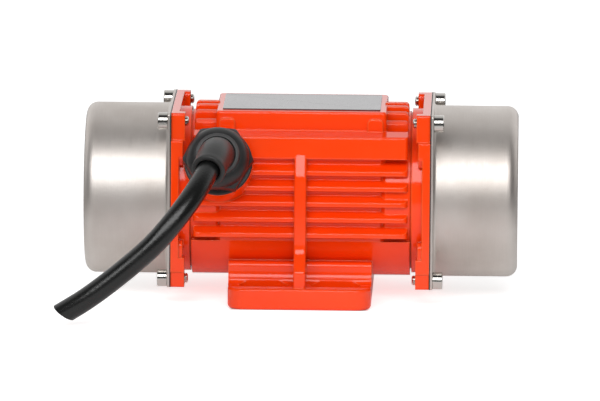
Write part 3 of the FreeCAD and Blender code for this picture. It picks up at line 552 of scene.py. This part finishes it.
def linked(name: str, data: bpy.types.ID) -> Piece:
    """Put new data into the scene as an object.

    Args:
        name: The object's name.
        data: Its curve, lamp or camera.

    Returns:
        The object.
    """
    made = bpy.data.objects.new(name, data)
    bpy.context.collection.objects.link(made)
    return made


@contextmanager
def editing(piece: Piece) -> Iterator[None]:
    """Edit one piece with all of it selected, and come out of edit mode afterwards.

    Args:
        piece: The mesh object.

    Returns:
        The context, which holds nothing itself.
    """
    take(piece)
    bpy.ops.object.mode_set(mode="EDIT")
    bpy.ops.mesh.select_all(action="SELECT")
    yield
    bpy.ops.object.mode_set(mode="OBJECT")


def face_out() -> None:
    """Turn every face of the piece in edit mode outwards."""
    bpy.ops.mesh.select_all(action="SELECT")
    bpy.ops.mesh.normals_make_consistent(inside=False)


def pick(piece: Piece, element: Element, wanted: Callable[[object], bool]) -> None:
    """Select the faces or edges that meet a test, and go into edit mode.

    Args:
        piece: The mesh object.
        element: Whether faces or edges are picked.
        wanted: Says whether one of them is to be selected.
    """
    bpy.ops.object.mode_set(mode="EDIT")
    bpy.ops.mesh.select_mode(type=element.name)
    bpy.ops.mesh.select_all(action="DESELECT")
    bpy.ops.object.mode_set(mode="OBJECT")
    for item in getattr(piece.data, element.value):
        item.select = wanted(item)
    bpy.ops.object.mode_set(mode="EDIT")


def apply_modifier(piece: Piece, kind: str, **settings: object) -> None:
    """Add a modifier, set it and apply it.

    Args:
        piece: The object.
        kind: The modifier's type.
        **settings: Its properties.
    """
    take(piece)
    modifier = piece.modifiers.new(kind.lower(), kind)
    for key, value in settings.items():
        setattr(modifier, key, value)
    bpy.ops.object.modifier_apply(modifier=modifier.name)


def smooth(piece: Piece, degrees: float = 35.0) -> None:
    """Shade a piece smooth across edges flatter than an angle."""
    take(piece)
    bpy.ops.object.shade_smooth_by_angle(angle=math.radians(degrees))


def settle(piece: Piece) -> None:
    """Put the object at the origin, unturned and unscaled, with its place in its mesh."""
    take(piece)
    bpy.ops.object.transform_apply(location=True, rotation=True, scale=True)


def tidy_mesh(piece: Piece, gap: float = 0.00002) -> None:
    """Merge doubled points, drop slivers and turn every face outwards.

    Args:
        piece: The mesh object.
        gap: How near to each other two points are one.
    """
    with editing(piece):
        bpy.ops.mesh.remove_doubles(threshold=gap)
        bpy.ops.mesh.dissolve_degenerate(threshold=gap)
        face_out()


def turned(name: str, profile: Sequence[Span], steps: int = 96) -> Piece:
    """Turn an outline about the Z axis, from a single point drawn out corner by corner.

    Args:
        name: Name of the piece.
        profile: (radius, height) corners. It starts and ends on the axis, or where it began.
        steps: Faces round the piece.

    Returns:
        The closed, turned mesh.
    """
    deselect()
    first = profile[0]
    bpy.ops.mesh.primitive_plane_add(size=1.0, location=(first[0], 0.0, first[1]))
    piece = start(name)
    settle(piece)
    with editing(piece):
        bpy.ops.mesh.select_mode(type="VERT")
        bpy.ops.mesh.merge(type="CENTER")
        for before, after in zip(profile, profile[1:]):
            move = (after[0] - before[0], 0.0, after[1] - before[1])
            bpy.ops.mesh.extrude_region_move(TRANSFORM_OT_translate={"value": move})
        bpy.ops.mesh.select_all(action="SELECT")
        bpy.ops.mesh.spin(steps=steps, angle=FULL_TURN, center=CENTRE, axis=Axis.Z.value)
    tidy_mesh(piece)
    return piece


def arc(centre: Span, reach: Span, angles: Span, steps: int) -> list[Span]:
    """Corners along a round or oval stretch of an outline.

    Args:
        centre: Its (radius, height) centre.
        reach: Its half widths along the radius and the height.
        angles: Where it starts and ends, in degrees from straight out.
        steps: How many chords it has.

    Returns:
        The (radius, height) corners, both ends included.
    """
    first, last = angles
    turns = [math.radians(first + (last - first) * step / steps) for step in range(steps + 1)]
    return [
        (centre[0] + reach[0] * math.cos(turn), centre[1] + reach[1] * math.sin(turn))
        for turn in turns
    ]


def corner_radius(width: float) -> float:
    """Radius at a hexagon's corners, from its width across the flats."""
    return width / 2 / math.cos(math.pi / HEXAGON_SIDES)


def hexagon(name: str, width: float, low: float, high: float, turn: float = 0.0) -> Piece:
    """Six-sided prism about the Z axis.

    Args:
        name: Name of the piece.
        width: Width across the flats.
        low: Height of its lower face.
        high: Height of its upper face.
        turn: How far it is turned about the axis, in degrees.

    Returns:
        The prism.
    """
    deselect()
    bpy.ops.mesh.primitive_cylinder_add(
        vertices=HEXAGON_SIDES,
        radius=corner_radius(width),
        depth=high - low,
        location=(0.0, 0.0, (low + high) / 2),
        rotation=(0.0, 0.0, math.radians(turn)),
    )
    piece = start(name)
    settle(piece)
    return piece


def facing(origin: Sequence[float], direction: Vector, front: str = "Z") -> Matrix:
    """Matrix that stands something on a point with its front in a direction."""
    return Matrix.Translation(origin) @ direction.to_track_quat(front, "Y").to_matrix().to_4x4()


def placed(piece: Piece, origin: Vector, direction: Vector) -> Piece:
    """Stand a piece that was built up the Z axis on a point, facing a direction.

    Args:
        piece: The piece.
        origin: Where its own origin goes.
        direction: Where its own +Z points.

    Returns:
        The same piece, settled.
    """
    piece.matrix_world = facing(origin, direction)
    settle(piece)
    return piece


def twin(piece: Piece, name: str) -> Piece:
    """Copy a piece with its own mesh.

    Args:
        piece: The piece to copy.
        name: Name of the copy.

    Returns:
        The copy.
    """
    copy = piece.copy()
    copy.data = piece.data.copy()
    copy.name = name
    copy.data.name = name
    bpy.context.collection.objects.link(copy)
    return copy


def joined(pieces: Sequence[Piece], name: str) -> Piece:
    """Join pieces into the first one.

    Args:
        pieces: The pieces.
        name: Name of the whole.

    Returns:
        The whole.
    """
    take(pieces[0])
    for piece in pieces[1:]:
        piece.select_set(True)
    bpy.ops.object.join()
    return start(name)


def cut(piece: Piece, cutter: Piece, operation: str = "DIFFERENCE") -> None:
    """Cut a piece with another, or join it on, and use the other up.

    Args:
        piece: The piece that stays.
        cutter: The closed piece that is used up.
        operation: What the boolean does with the two.
    """
    apply_modifier(piece, "BOOLEAN", object=cutter, operation=operation, solver="EXACT")
    bpy.data.objects.remove(cutter)
    tidy_mesh(piece)


def dress(piece: Piece, material: Material) -> None:
    """Give a piece one material."""
    piece.data.materials.clear()
    piece.data.materials.append(material)


# Fasteners and plate ------------


@dataclass
class CoverScrews:
    """Four stainless socket head screws that hold one end cover."""

    end: End
    head_radius: float = 0.00425
    head_height: float = 0.0050
    head_chamfer: float = 0.0004
    shank_radius: float = 0.0025
    tip: float = 0.0007
    socket_width: float = 0.0040
    socket_depth: float = 0.0026
    pitch: float = 0.0008
    crest_share: float = 0.25
    root_share: float = 0.6
    thread_depth: float = 0.0004
    turns: int = 4
    facets: int = 48

    def build(self, finishes: Finishes) -> None:
        """Model one screw, copy it to the corners and dress the set.

        Args:
            finishes: The materials by name.
        """
        node = f"cover_screws_{self.end.word}"
        low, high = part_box(node)
        first = self._screw(high.x - low.x)
        tip_x = low.x if self.end is End.RIGHT else high.x
        outwards = Vector((self.end.value, 0.0, 0.0))
        inset = self.head_radius
        corners = [
            (y, z)
            for y in (low.y + inset, high.y - inset)
            for z in (low.z + inset, high.z - inset)
        ]
        copies = [twin(first, f"screw_copy_{count}") for count in range(len(corners) - 1)]
        screws = [first, *copies]
        for screw, (y, z) in zip(screws, corners):
            placed(screw, Vector((tip_x, y, z)), outwards)
        whole = joined(screws, f"socket_screws_{self.end.word}")
        smooth(whole)
        dress(whole, finishes["stainless_screw"])
        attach(whole, "housing")
        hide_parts(node)
        LOG.info("%s modelled", whole.name)

    def _screw(self, length: float) -> Piece:
        """Turn one screw up the Z axis, with its thread and its hexagon socket.

        Args:
            length: From the tip of the thread to the top of the head.

        Returns:
            The closed screw, tip at the origin.
        """
        under = length - self.head_height
        crest, root = self.shank_radius, self.shank_radius - self.thread_depth
        profile = [(0.0, 0.0), (crest - self.tip, 0.0)]
        height = self.tip
        for _ in range(self.turns):
            profile += [(crest, height), (crest, height + self.pitch * self.crest_share)]
            profile.append((root, height + self.pitch * self.root_share))
            height += self.pitch
        edge = self.head_chamfer
        profile += [
            (crest, height), (crest, under), (self.head_radius - edge / 2, under),
            (self.head_radius, under + edge / 2), (self.head_radius, length - edge),
            (self.head_radius - edge, length), (0.0, length),
        ]
        screw = turned(f"cover_screw_{self.end.word}", profile, self.facets)
        depth = self.socket_depth
        cut(screw, hexagon("socket_cutter", self.socket_width, length - depth, length + depth))
        return screw


@dataclass
class Nameplate:
    """Bare aluminium plate with a rolled edge and dark sides."""

    corner: float = 0.0008
    corner_steps: int = 5
    border: float = 0.0009
    step: float = 0.00012
    upward: float = 0.9
    sideways: float = 0.5

    def build(self, finishes: Finishes) -> None:
        """Model and dress the plate.

        Args:
            finishes: The materials by name.
        """
        low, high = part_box("nameplate")
        size, middle = high - low, (low + high) / 2
        deselect()
        bpy.ops.mesh.primitive_cube_add(size=1.0, location=middle, scale=size)
        plate = start("rating_plate")
        settle(plate)

        def upright(edge: bpy.types.MeshEdge) -> bool:
            """Whether an edge runs up the plate's side."""
            one, two = (plate.data.vertices[index].co.z for index in edge.vertices)
            return abs(one - two) > size.z / 2

        pick(plate, Element.EDGE, upright)
        bpy.ops.mesh.bevel(offset=self.corner, segments=self.corner_steps)
        bpy.ops.object.mode_set(mode="OBJECT")
        pick(plate, Element.FACE, lambda face: face.normal.z > self.upward)
        bpy.ops.mesh.inset(thickness=self.border)
        bpy.ops.transform.translate(value=(0.0, 0.0, -self.step))
        bpy.ops.object.mode_set(mode="OBJECT")
        plate.data.materials.append(finishes["label_grey"])
        plate.data.materials.append(finishes["label_edge"])
        for face in plate.data.polygons:
            face.material_index = int(abs(face.normal.z) < self.sideways)
        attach(plate, "housing")
        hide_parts("nameplate")
        LOG.info("%s modelled", plate.name)


# Cable and gland ------------


@dataclass
class CableGland:
    """Black nylon cable gland with its domed nut and the rubber boot out of it.

    Heights are measured along the gland's axis, and depths back from the top of a piece.
    """

    tilt: float = 23.0
    ease: float = 0.0005
    seat: float = 0.0510
    collar_radius: float = 0.0169
    collar_height: float = 0.0016
    body_width: float = 0.0303
    body_height: float = 0.0045
    body_wall: float = 0.001
    thread_radius: float = 0.0100
    thread_length: float = 0.0090
    neck_radius: float = 0.0125
    neck_height: float = 0.0121
    nut_start: float = 0.0559
    nut_width: float = 0.0306
    nut_radius: float = 0.0174
    nut_height: float = 0.0120
    nut_side: float = 0.0018
    nut_shoulder: Span = (0.0168, 0.0026)
    nut_facets: int = 144
    nut_crease: float = 25.0
    dome_centre: Span = (0.0096, 0.0030)
    dome_reach: Span = (0.0060, 0.0070)
    dome_angles: Span = (6.5, 76.0)
    dome_steps: int = 7
    mouth_radius: float = 0.0107
    mouth_start: float = 0.0103
    mouth_lip: tuple[Span, ...] = (
        (0.0107, 0.0009), (0.0105, 0.0005), (0.0095, 0.0001), (0.0090, 0.0)
    )
    mouth_band: float = 0.0010
    mouth_flare: float = 0.0004
    bore_radius: float = 0.0088
    thread_play: float = 0.0003
    floor_gap: float = 0.0001
    overcut: float = 0.001
    boot_start: float = 0.0631
    boot_root: float = 0.0088
    boot_radius: float = 0.0082
    boot_end: float = 0.0042
    boot_steps: int = 12
    boot_crease: float = 50.0
    boot_bend: float = 0.36
    boot_spans: int = 32
    rim_radius: float = 0.0084
    rim_start: float = 0.0034
    rim_swell: float = 0.0020
    rim_round: float = 0.0008
    rim_steps: int = 4
    rim_bore: float = 0.0058
    rim_depth: float = 0.0050
    boot_rim: Point = (-0.0442, -0.0868, 0.0740)
    boot_heading: Point = (-0.20, -0.90, -0.39)
    root: Vector = field(init=False)
    outwards: Vector = field(init=False)

    def __post_init__(self) -> None:
        """Find the gland's axis on the CAD frame."""
        shaft_low, shaft_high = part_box("motor_shaft")
        nut_low, nut_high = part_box("gland_nut")
        turn = math.radians(self.tilt)
        self.outwards = Vector((0.0, -math.cos(turn), math.sin(turn)))
        self.root = Vector(((nut_low.x + nut_high.x) / 2, 0.0, (shaft_low.z + shaft_high.z) / 2))

    def build(self, finishes: Finishes) -> list[Piece]:
        """Model and dress the gland.

        Args:
            finishes: The materials by name.

        Returns:
            The pieces that the cable passes through.
        """
        pieces = [self._body(), self._nut(), self._boot()]
        looks = ("black_nylon", "black_nylon", "black_rubber")
        nodes = ("gland_body", "gland_nut", "cable_boot")
        for piece, look, node in zip(pieces, looks, nodes):
            dress(piece, finishes[look])
            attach(piece, "housing")
            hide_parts(node)
            LOG.info("%s modelled", piece.name)
        self._rub_mouth(pieces[1], finishes["rubbed_nylon"])
        return pieces

    def _rub_mouth(self, nut: Piece, material: Material) -> None:
        """Give the raised ring at the nut's mouth a paler nylon.

        Args:
            nut: The nut.
            material: What the ring wears.
        """
        nut.data.materials.append(material)
        start_at = self.nut_start + self.nut_height - self.mouth_band
        for face in nut.data.polygons:
            along = (face.center - self.root).dot(self.outwards)
            face.material_index = int(along > start_at)

    def _body(self) -> Piece:
        """Hexagon that screws into the housing, with its thread, washer face and neck.

        Returns:
            The body, in its place.
        """
        ease, collar, neck = self.ease, self.collar_radius, self.neck_radius
        bore, top = self.bore_radius - self.body_wall, self.neck_height
        piece = turned("gland_body_nylon", [
            (bore, -self.thread_length), (self.thread_radius, -self.thread_length),
            (self.thread_radius, 0.0), (collar - ease / 2, 0.0), (collar, ease / 2),
            (collar, self.collar_height - ease), (collar - ease, self.collar_height),
            (neck, self.collar_height), (neck, top - ease), (neck - ease, top), (bore, top),
            (bore, -self.thread_length),
        ])
        height, corner = self.body_height, corner_radius(self.body_width)
        foot = self.collar_height / 2
        prism = hexagon("gland_body_hexagon", self.body_width, 0.0, height, FLATS_UP)
        limit = turned("gland_body_limit", [
            (bore + ease, foot), (corner, foot), (corner, height - 2 * ease),
            (corner - 2 * ease, height), (bore + ease, height), (bore + ease, foot),
        ])
        cut(prism, limit, "INTERSECT")
        cut(piece, prism, "UNION")
        smooth(piece)
        return placed(piece, self.root + self.outwards * self.seat, self.outwards)

    def _nut(self) -> Piece:
        """Hexagon nut that rounds over to a raised ring at its mouth.

        Returns:
            The nut, in its place.
        """
        top, ease, wide, flare = self.nut_height, self.ease, self.nut_radius, self.mouth_flare
        piece = hexagon("gland_nut_dome", self.nut_width, 0.0, top, FLATS_UP)
        dome = turned("gland_nut_limit", [
            (0.0, 0.0), (wide - ease, 0.0), (wide, ease), (wide, self.nut_side), self.nut_shoulder,
            *arc(self.dome_centre, self.dome_reach, self.dome_angles, self.dome_steps),
            (self.mouth_radius, self.mouth_start),
            *((radius, top - depth) for radius, depth in self.mouth_lip), (0.0, top),
        ], self.nut_facets)
        cut(piece, dome, "INTERSECT")
        bore, room = self.bore_radius, self.neck_radius + self.thread_play
        floor = self.neck_height - self.body_height + self.floor_gap
        hollow = turned("gland_nut_hollow", [
            (0.0, -self.overcut), (room, -self.overcut), (room, floor), (bore, floor),
            (bore, top - flare), (bore + 2 * flare, top + flare), (0.0, top + flare),
        ], self.nut_facets)
        cut(piece, hollow)
        smooth(piece, self.nut_crease)
        return placed(piece, self.root + self.outwards * self.nut_start, self.outwards)

    def _boot(self) -> Piece:
        """Tapered boot with a thick rim and a hollow mouth, bent along the cable's way out.

        Returns:
            The boot, in its place.
        """
        begin = self.root + self.outwards * self.boot_start
        rim, heading = Vector(self.boot_rim), Vector(self.boot_heading).normalized()
        curve = bpy.data.curves.new("boot_line", "CURVE")
        curve.dimensions = "3D"
        spline = curve.splines.new("BEZIER")
        spline.bezier_points.add(1)
        span = (rim - begin).length * self.boot_bend
        for point, place, way in zip(
            spline.bezier_points, (begin, rim), (self.outwards, heading)
        ):
            point.handle_left_type = point.handle_right_type = "FREE"
            point.co = place
            point.handle_left, point.handle_right = place - way * span, place + way * span
        spline.resolution_u = self.boot_spans
        length = spline.calc_length()
        line = linked("boot_line", curve)
        wall = [
            (
                self.boot_root - (self.boot_root - self.boot_radius) * share / self.boot_steps,
                (length - self.boot_end) * share / self.boot_steps,
            )
            for share in range(self.boot_steps + 1)
        ]
        bend, high = (self.rim_round, self.rim_round), length - self.rim_round
        piece = turned("cable_boot_rubber", [
            (0.0, 0.0), *wall, (self.boot_radius, length - self.rim_start),
            (self.rim_radius, length - self.rim_swell),
            *arc((self.rim_radius - self.rim_round, high), bend, (0.0, 90.0), self.rim_steps),
            *arc((self.rim_bore + self.rim_round, high), bend, (90.0, 180.0), self.rim_steps),
            (self.rim_bore, length - self.rim_depth), (0.0, length - self.rim_depth),
        ])
        apply_modifier(piece, "CURVE", object=line, deform_axis="POS_Z")
        bpy.data.objects.remove(line)
        tidy_mesh(piece)
        smooth(piece, self.boot_crease)
        return piece


@dataclass
class CableLead:
    """Free rubber cable, cut off at an angle at its far end, where its cores show."""

    diameter: float = 0.011
    length: float = 0.109
    facets: int = 14
    order: int = 3
    spans: int = 12
    crease: float = 40.0
    cut_turn: float = 23.0
    overrun: float = 0.004
    cores: int = 3
    core_facets: int = 32
    core_offset: float = 0.00205
    core_stub: float = 0.0060
    core_radius: float = 0.00165
    core_proud: float = 0.000035
    wire_radius: float = 0.00095
    wire_proud: float = 0.000105
    route: tuple[Point, ...] = (
        (-0.0440, -0.0845, 0.0749),
        (-0.0452, -0.0898, 0.0726),
        (-0.0492, -0.0987, 0.0664),
        (-0.0548, -0.1055, 0.0588),
        (-0.0616, -0.1098, 0.0504),
        (-0.0694, -0.1116, 0.0413),
        (-0.0784, -0.1118, 0.0330),
        (-0.0903, -0.1120, 0.0231),
        (-0.1026, -0.1116, 0.0137),
        (-0.1136, -0.1092, 0.0066),
    )
    end: Vector = field(init=False)
    heading: Vector = field(init=False)
    slant: Vector = field(init=False)

    def __post_init__(self) -> None:
        """Find the cable's end, the way it points there and the way its cut faces."""
        self.end = Vector(self.route[-1])
        self.heading = (self.end - Vector(self.route[-2])).normalized()
        self.slant = Matrix.Rotation(-math.radians(self.cut_turn), 3, "Y") @ self.heading

    def build(self, finishes: Finishes, through: Sequence[Piece]) -> None:
        """Lay the cable along its route and cut its end.

        Args:
            finishes: The materials by name.
            through: The gland's pieces, which the cable passes through; not used.
        """
        line = self._line("power_cable_line", self.route)
        bare = bpy.data.meshes.new_from_object(line)
        beyond = self.end + self.heading * self.overrun
        piece = self._line("power_cable_skin", (*self.route, tuple(beyond)))
        piece.data.bevel_depth = self.diameter / 2
        piece.data.bevel_resolution = self.facets
        piece.data.use_fill_caps = True
        take(piece)
        bpy.ops.object.convert(target="MESH")
        piece = start("power_cable_skin")
        tidy_mesh(piece)
        self._cut_off(piece)
        smooth(piece, self.crease)
        dress(piece, finishes["cable_rubber"])
        bpy.data.objects.remove(line)
        bpy.data.meshes.remove(bare)
        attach(piece, "housing")
        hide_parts("power_cable")
        inside = [
            self._cores("cable_core_skins", self.core_radius, self.core_proud),
            self._cores("cable_core_wires", self.wire_radius, self.wire_proud),
        ]
        for core, look, slot in zip(
            inside, ("core_insulation", "copper_winding"), ("black_rubber", "copper_winding")
        ):
            dress(core, finishes[look])
            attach(core, "housing")
        LOG.info("cable laid over %d points", len(self.route))

    def _cut_off(self, piece: Piece, proud: float = 0.0) -> None:
        """Cut a piece off at the slanted end of the cable.

        Args:
            piece: The closed mesh to cut.
            proud: How far outside the cable's own cut this one lies.
        """
        place = self.end + self.slant.normalized() * proud
        with editing(piece):
            bpy.ops.mesh.bisect(
                plane_co=place, plane_no=self.slant, use_fill=True, clear_outer=True
            )
            face_out()

    def _cores(self, name: str, radius: float, proud: float) -> Piece:
        """Short lengths of the cores, let into the cut end.

        Args:
            name: Name of the piece.
            radius: Radius of one core, or of the wire in it.
            proud: How far they stand out of the cable's cut.

        Returns:
            The lengths as one piece.
        """
        outline = [(0.0, 0.0), (radius, 0.0), (radius, self.core_stub), (0.0, self.core_stub)]
        across = self.heading.orthogonal().normalized() * self.core_offset
        begin = self.end - self.heading * self.core_stub / 2
        stubs = []
        for count in range(self.cores):
            side = Matrix.Rotation(FULL_TURN * count / self.cores, 3, self.heading) @ across
            stub = turned(f"{name}_{count}", outline, self.core_facets)
            stubs.append(placed(stub, begin + side, self.heading))
            self._cut_off(stub, proud)
        whole = joined(stubs, name)
        smooth(whole, self.crease)
        return whole

    def _line(self, name: str, places: Sequence[Point]) -> Piece:
        """Smooth open NURBS line.

        Args:
            name: Name of the line.
            places: Its control points.

        Returns:
            The curve object.
        """
        curve = bpy.data.curves.new(name, "CURVE")
        curve.dimensions = "3D"
        spline = curve.splines.new("NURBS")
        spline.points.add(len(places) - 1)
        for point, place in zip(spline.points, places):
            point.co = (*place, 1.0)
        spline.order_u = self.order
        spline.use_endpoint_u = True
        spline.resolution_u = self.spans
        return linked(name, curve)


# Studio ------------


@dataclass
class Studio:
    """Pale floor, pale surround, one soft lamp and the camera."""

    camera_place: Point = (0.1089, -4.8411, 0.7872)
    yaw: float = -1.3013
    pitch: float = 8.695
    roll: float = 0.45007
    lens: float = 589.42
    sensor: float = 36.0
    far_clip: float = 100.0
    lamp_place: Point = (-0.20, -1.52, 1.06)
    lamp_aim: Point = (0.0, 0.0, 0.05)
    lamp_size: Span = (2.2, 0.9)
    lamp_power: float = 29.0
    floor_size: float = 40.0
    floor_tone: float = 0.85
    floor_glow: Span = (0.66, 0.8)
    glow_reach: Span = (0.4, 1.5)
    floor_shine: float = 0.12
    floor_fill: float = 0.30
    foot_half: Span = (0.033, 0.053)
    foot_fade: float = 0.002
    table_reach: Span = (0.20, 0.40)
    ambient: float = 0.38
    room: float = 0.07
    overhead: float = 0.78
    backdrop_rise: Span = (-0.15, 0.30)
    ceiling_fall: Span = (0.35, 0.80)

    def build(self) -> None:
        """Set up the floor, the surround, the lamp and the camera."""
        bpy.context.scene.view_settings.view_transform = "Standard"
        self._floor()
        self._world()
        self._lamp()
        self._camera()
        LOG.info("studio ready")

    @staticmethod
    def _rays(graph: Graph) -> tuple[Sockets, Socket]:
        """The kinds of ray, and a mask of those that show the floor or surround to the eye."""
        seen = graph.node("LightPath").outputs
        return seen, graph.math("MAXIMUM", seen["Is Camera Ray"], seen["Is Transmission Ray"])

    def _floor(self) -> None:
        """Pale floor that keeps the shadow, glows to the eye and darkens far off in gloss.

        It doesn't glow under the foot, where its light would leak out at the edges.
        """
        deselect()
        bpy.ops.mesh.primitive_plane_add(size=self.floor_size, location=CENTRE)
        floor = start("studio_floor")
        material = bpy.data.materials.new("pale_floor")
        material.use_nodes = True
        graph = Graph(material.node_tree)
        matt = graph.node("BsdfDiffuse", {"Color": (self.floor_tone,) * 3 + (1.0,)})
        seen, direct = self._rays(graph)
        place = graph.object_space()
        distance = graph.vector_math("LENGTH", {0: place}, "Value")
        pale = graph.remap(distance, *self.glow_reach, *self.floor_glow)
        strength = graph.math("MULTIPLY", direct, pale)
        shares = {"Is Glossy Ray": self.floor_shine, "Is Diffuse Ray": self.floor_fill}
        for rays, share in shares.items():
            strength = graph.math("ADD", strength, graph.math("MULTIPLY", seen[rays], share))
        spot = graph.node("SeparateXYZ", {0: place}).outputs
        beside, before = (
            graph.remap(graph.math("ABSOLUTE", spot[axis]), half, half + self.foot_fade)
            for axis, half in zip("XY", self.foot_half)
        )
        strength = graph.math("MULTIPLY", strength, graph.math("MAXIMUM", beside, before))
        glow = graph.node("Emission", {"Color": WHITE, "Strength": strength})
        near = graph.node("AddShader", {0: matt.outputs[0], 1: glow.outputs[0]})
        dim = graph.node("Emission", {"Color": WHITE, "Strength": self.room})
        beyond = graph.remap(distance, *self.table_reach)
        far = graph.math("MULTIPLY", beyond, seen["Is Glossy Ray"])
        both = graph.node("MixShader", {0: far, 1: near.outputs[0], 2: dim.outputs[0]})
        graph.node("OutputMaterial", {"Surface": both.outputs[0]})
        floor.data.materials.append(material)

    def _world(self) -> None:
        """White surround for the eye, a shaded one for reflections and a softer one for fill."""
        world = bpy.data.worlds.new("studio_world")
        bpy.context.scene.world = world
        world.use_nodes = True
        graph = Graph(world.node_tree)
        seen, direct = self._rays(graph)
        outwards = graph.node("TexCoord").outputs["Generated"]
        towards = graph.node("SeparateXYZ", {0: outwards}).outputs
        backdrop = graph.remap(towards["Y"], *self.backdrop_rise, self.room, 1.0)
        ceiling = graph.remap(towards["Z"], *self.ceiling_fall, 1.0, self.overhead)
        mirrored = graph.math("MULTIPLY", backdrop, ceiling)
        plain = graph.remap(direct, 0.0, 1.0, self.ambient, 1.0)
        inputs = {"Factor": seen["Is Glossy Ray"], 2: plain, 3: mirrored}
        strength = graph.node("Mix", inputs).outputs[0]
        glow = graph.node("Background", {"Color": WHITE, "Strength": strength})
        graph.node("OutputWorld", {"Surface": glow.outputs[0]})

    def _lamp(self) -> None:
        """Hang the soft lamp, facing the motor."""
        data = bpy.data.lights.new("key_lamp", "AREA")
        data.shape = "RECTANGLE"
        data.size, data.size_y = self.lamp_size
        data.energy = self.lamp_power
        aim = Vector(self.lamp_aim) - Vector(self.lamp_place)
        linked("key_lamp", data).matrix_world = facing(self.lamp_place, aim, "-Z")

    def _camera(self) -> None:
        """Aim the camera by its yaw, pitch and roll."""
        yaw, pitch, roll = (math.radians(angle) for angle in (self.yaw, self.pitch, self.roll))
        ahead = Vector(
            (math.sin(yaw) * math.cos(pitch), math.cos(yaw) * math.cos(pitch), -math.sin(pitch))
        )
        level = Vector((math.cos(yaw), -math.sin(yaw), 0.0))
        upright = level.cross(ahead)
        right = level * math.cos(roll) + upright * math.sin(roll)
        above = upright * math.cos(roll) - level * math.sin(roll)
        data = bpy.data.cameras.new("studio_camera")
        data.lens = self.lens
        data.sensor_fit = "HORIZONTAL"
        data.sensor_width = self.sensor
        data.clip_end = self.far_clip
        camera = linked("studio_camera", data)
        turn = Matrix((right, above, -ahead)).transposed().to_4x4()
        camera.matrix_world = Matrix.Translation(self.camera_place) @ turn
        bpy.context.scene.camera = camera


# Assembly ------------


def make_finishes() -> Finishes:
    """Build every material.

    Returns:
        The materials by name.
    """
    effects = Effects()
    shaft_low, shaft_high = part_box("motor_shaft")
    shaft_metal = partial(TurnedMetal, centre=(0.0, 0.0, (shaft_low.z + shaft_high.z) / 2))
    looks = (
        GlossEnamel(),
        shaft_metal("stainless_sheet", (0.73, 0.685, 0.65, 1), (0.53, 0.475, 0.435, 1),
                    (0.42, 0.52), edge_radius=0.0006),
        shaft_metal("stainless_screw", (0.66, 0.64, 0.61, 1), (0.54, 0.52, 0.49, 1), (0.08, 0.16)),
        TurnedMetal("label_grey", (0.40, 0.395, 0.40, 1), (0.36, 0.355, 0.36, 1), (0.26, 0.34),
                    axis=Axis.Z),
        shaft_metal("bearing_steel", (0.60, 0.60, 0.60, 1), (0.48, 0.48, 0.48, 1), (0.12, 0.2)),
        shaft_metal("ground_steel", (0.52, 0.52, 0.53, 1), (0.40, 0.40, 0.41, 1), (0.22, 0.32)),
        shaft_metal("pressed_steel", (0.48, 0.47, 0.45, 1), (0.34, 0.33, 0.31, 1), (0.3, 0.42)),
        shaft_metal("electrical_sheet", (0.26, 0.25, 0.25, 1), (0.16, 0.155, 0.15, 1), (0.4, 0.55),
                    across=9000.0, relief=(0.5, 0.0001)),
        shaft_metal("cast_aluminium", (0.62, 0.62, 0.62, 1), (0.48, 0.48, 0.48, 1), (0.4, 0.55),
                    relief=(0.3, 0.0001)),
        shaft_metal("weight_steel", (0.36, 0.35, 0.34, 1), (0.24, 0.23, 0.22, 1), (0.38, 0.5),
                    relief=(0.3, 0.0001)),
        shaft_metal("copper_winding", (0.55, 0.20, 0.08, 1), (0.38, 0.12, 0.045, 1), (0.25, 0.35),
                    across=5200.0, relief=(0.9, 0.0001)),
        DullSkin("bracket_iron", (0.13, 0.13, 0.135, 1), (0.24, 0.235, 0.23, 1), (0.45, 0.6),
                 metallic=1.0),
        DullSkin("black_screw", (0.030, 0.030, 0.032, 1), (0.12, 0.12, 0.12, 1), (0.3, 0.42),
                 metallic=1.0),
        DullSkin("black_nylon", (0.008, 0.008, 0.0085, 1), (0.040, 0.040, 0.040, 1), (0.34, 0.44)),
        DullSkin("rubbed_nylon", (0.045, 0.045, 0.0455, 1), (0.070, 0.070, 0.070, 1), (0.40, 0.50)),
        DullSkin("black_rubber", (0.014, 0.014, 0.0135, 1), (0.030, 0.030, 0.029, 1), (0.40, 0.50)),
        DullSkin("cable_rubber", (0.004, 0.0043, 0.004, 1), (0.01, 0.0103, 0.01, 1), (0.22, 0.31)),
        DullSkin("core_insulation", (0.26, 0.26, 0.25, 1), (0.34, 0.34, 0.33, 1), (0.32, 0.42)),
        DullSkin("label_edge", (0.1, 0.1, 0.105, 1), (0.2, 0.2, 0.2, 1), (0.4, 0.5), metallic=1.0),
        DullSkin("gasket_rubber", (0.016, 0.016, 0.016, 1), (0.04, 0.04, 0.04, 1), (0.55, 0.7)),
    )
    return {look.name: look.build(effects) for look in looks}


def dress_nodes(frame: dict, finishes: Finishes) -> None:
    """Give every CAD node the finish of its slot.

    Args:
        finishes: The materials by name.
    """
    slots = {row["node"]: row["material_slot"] for row in frame["record"]["subparts"]}
    for name, node in frame["nodes"].items():
        for slot in node.material_slots:
            slot.material = finishes[slots[name]]
        LOG.info("%s wears %s", name, slots[name])


def main() -> None:
    """Build the visual model round the CAD frame."""
    logging.basicConfig(level=logging.INFO, format="%(name)s: %(message)s")
    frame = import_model()
    finishes = make_finishes()
    dress_nodes(frame, finishes)
    gland = CableGland().build(finishes)
    CableLead().build(finishes, gland)
    Nameplate().build(finishes)
    for end in End:
        CoverScrews(end).build(finishes)
    Studio().build()


if __name__ == "__main__":
    main()
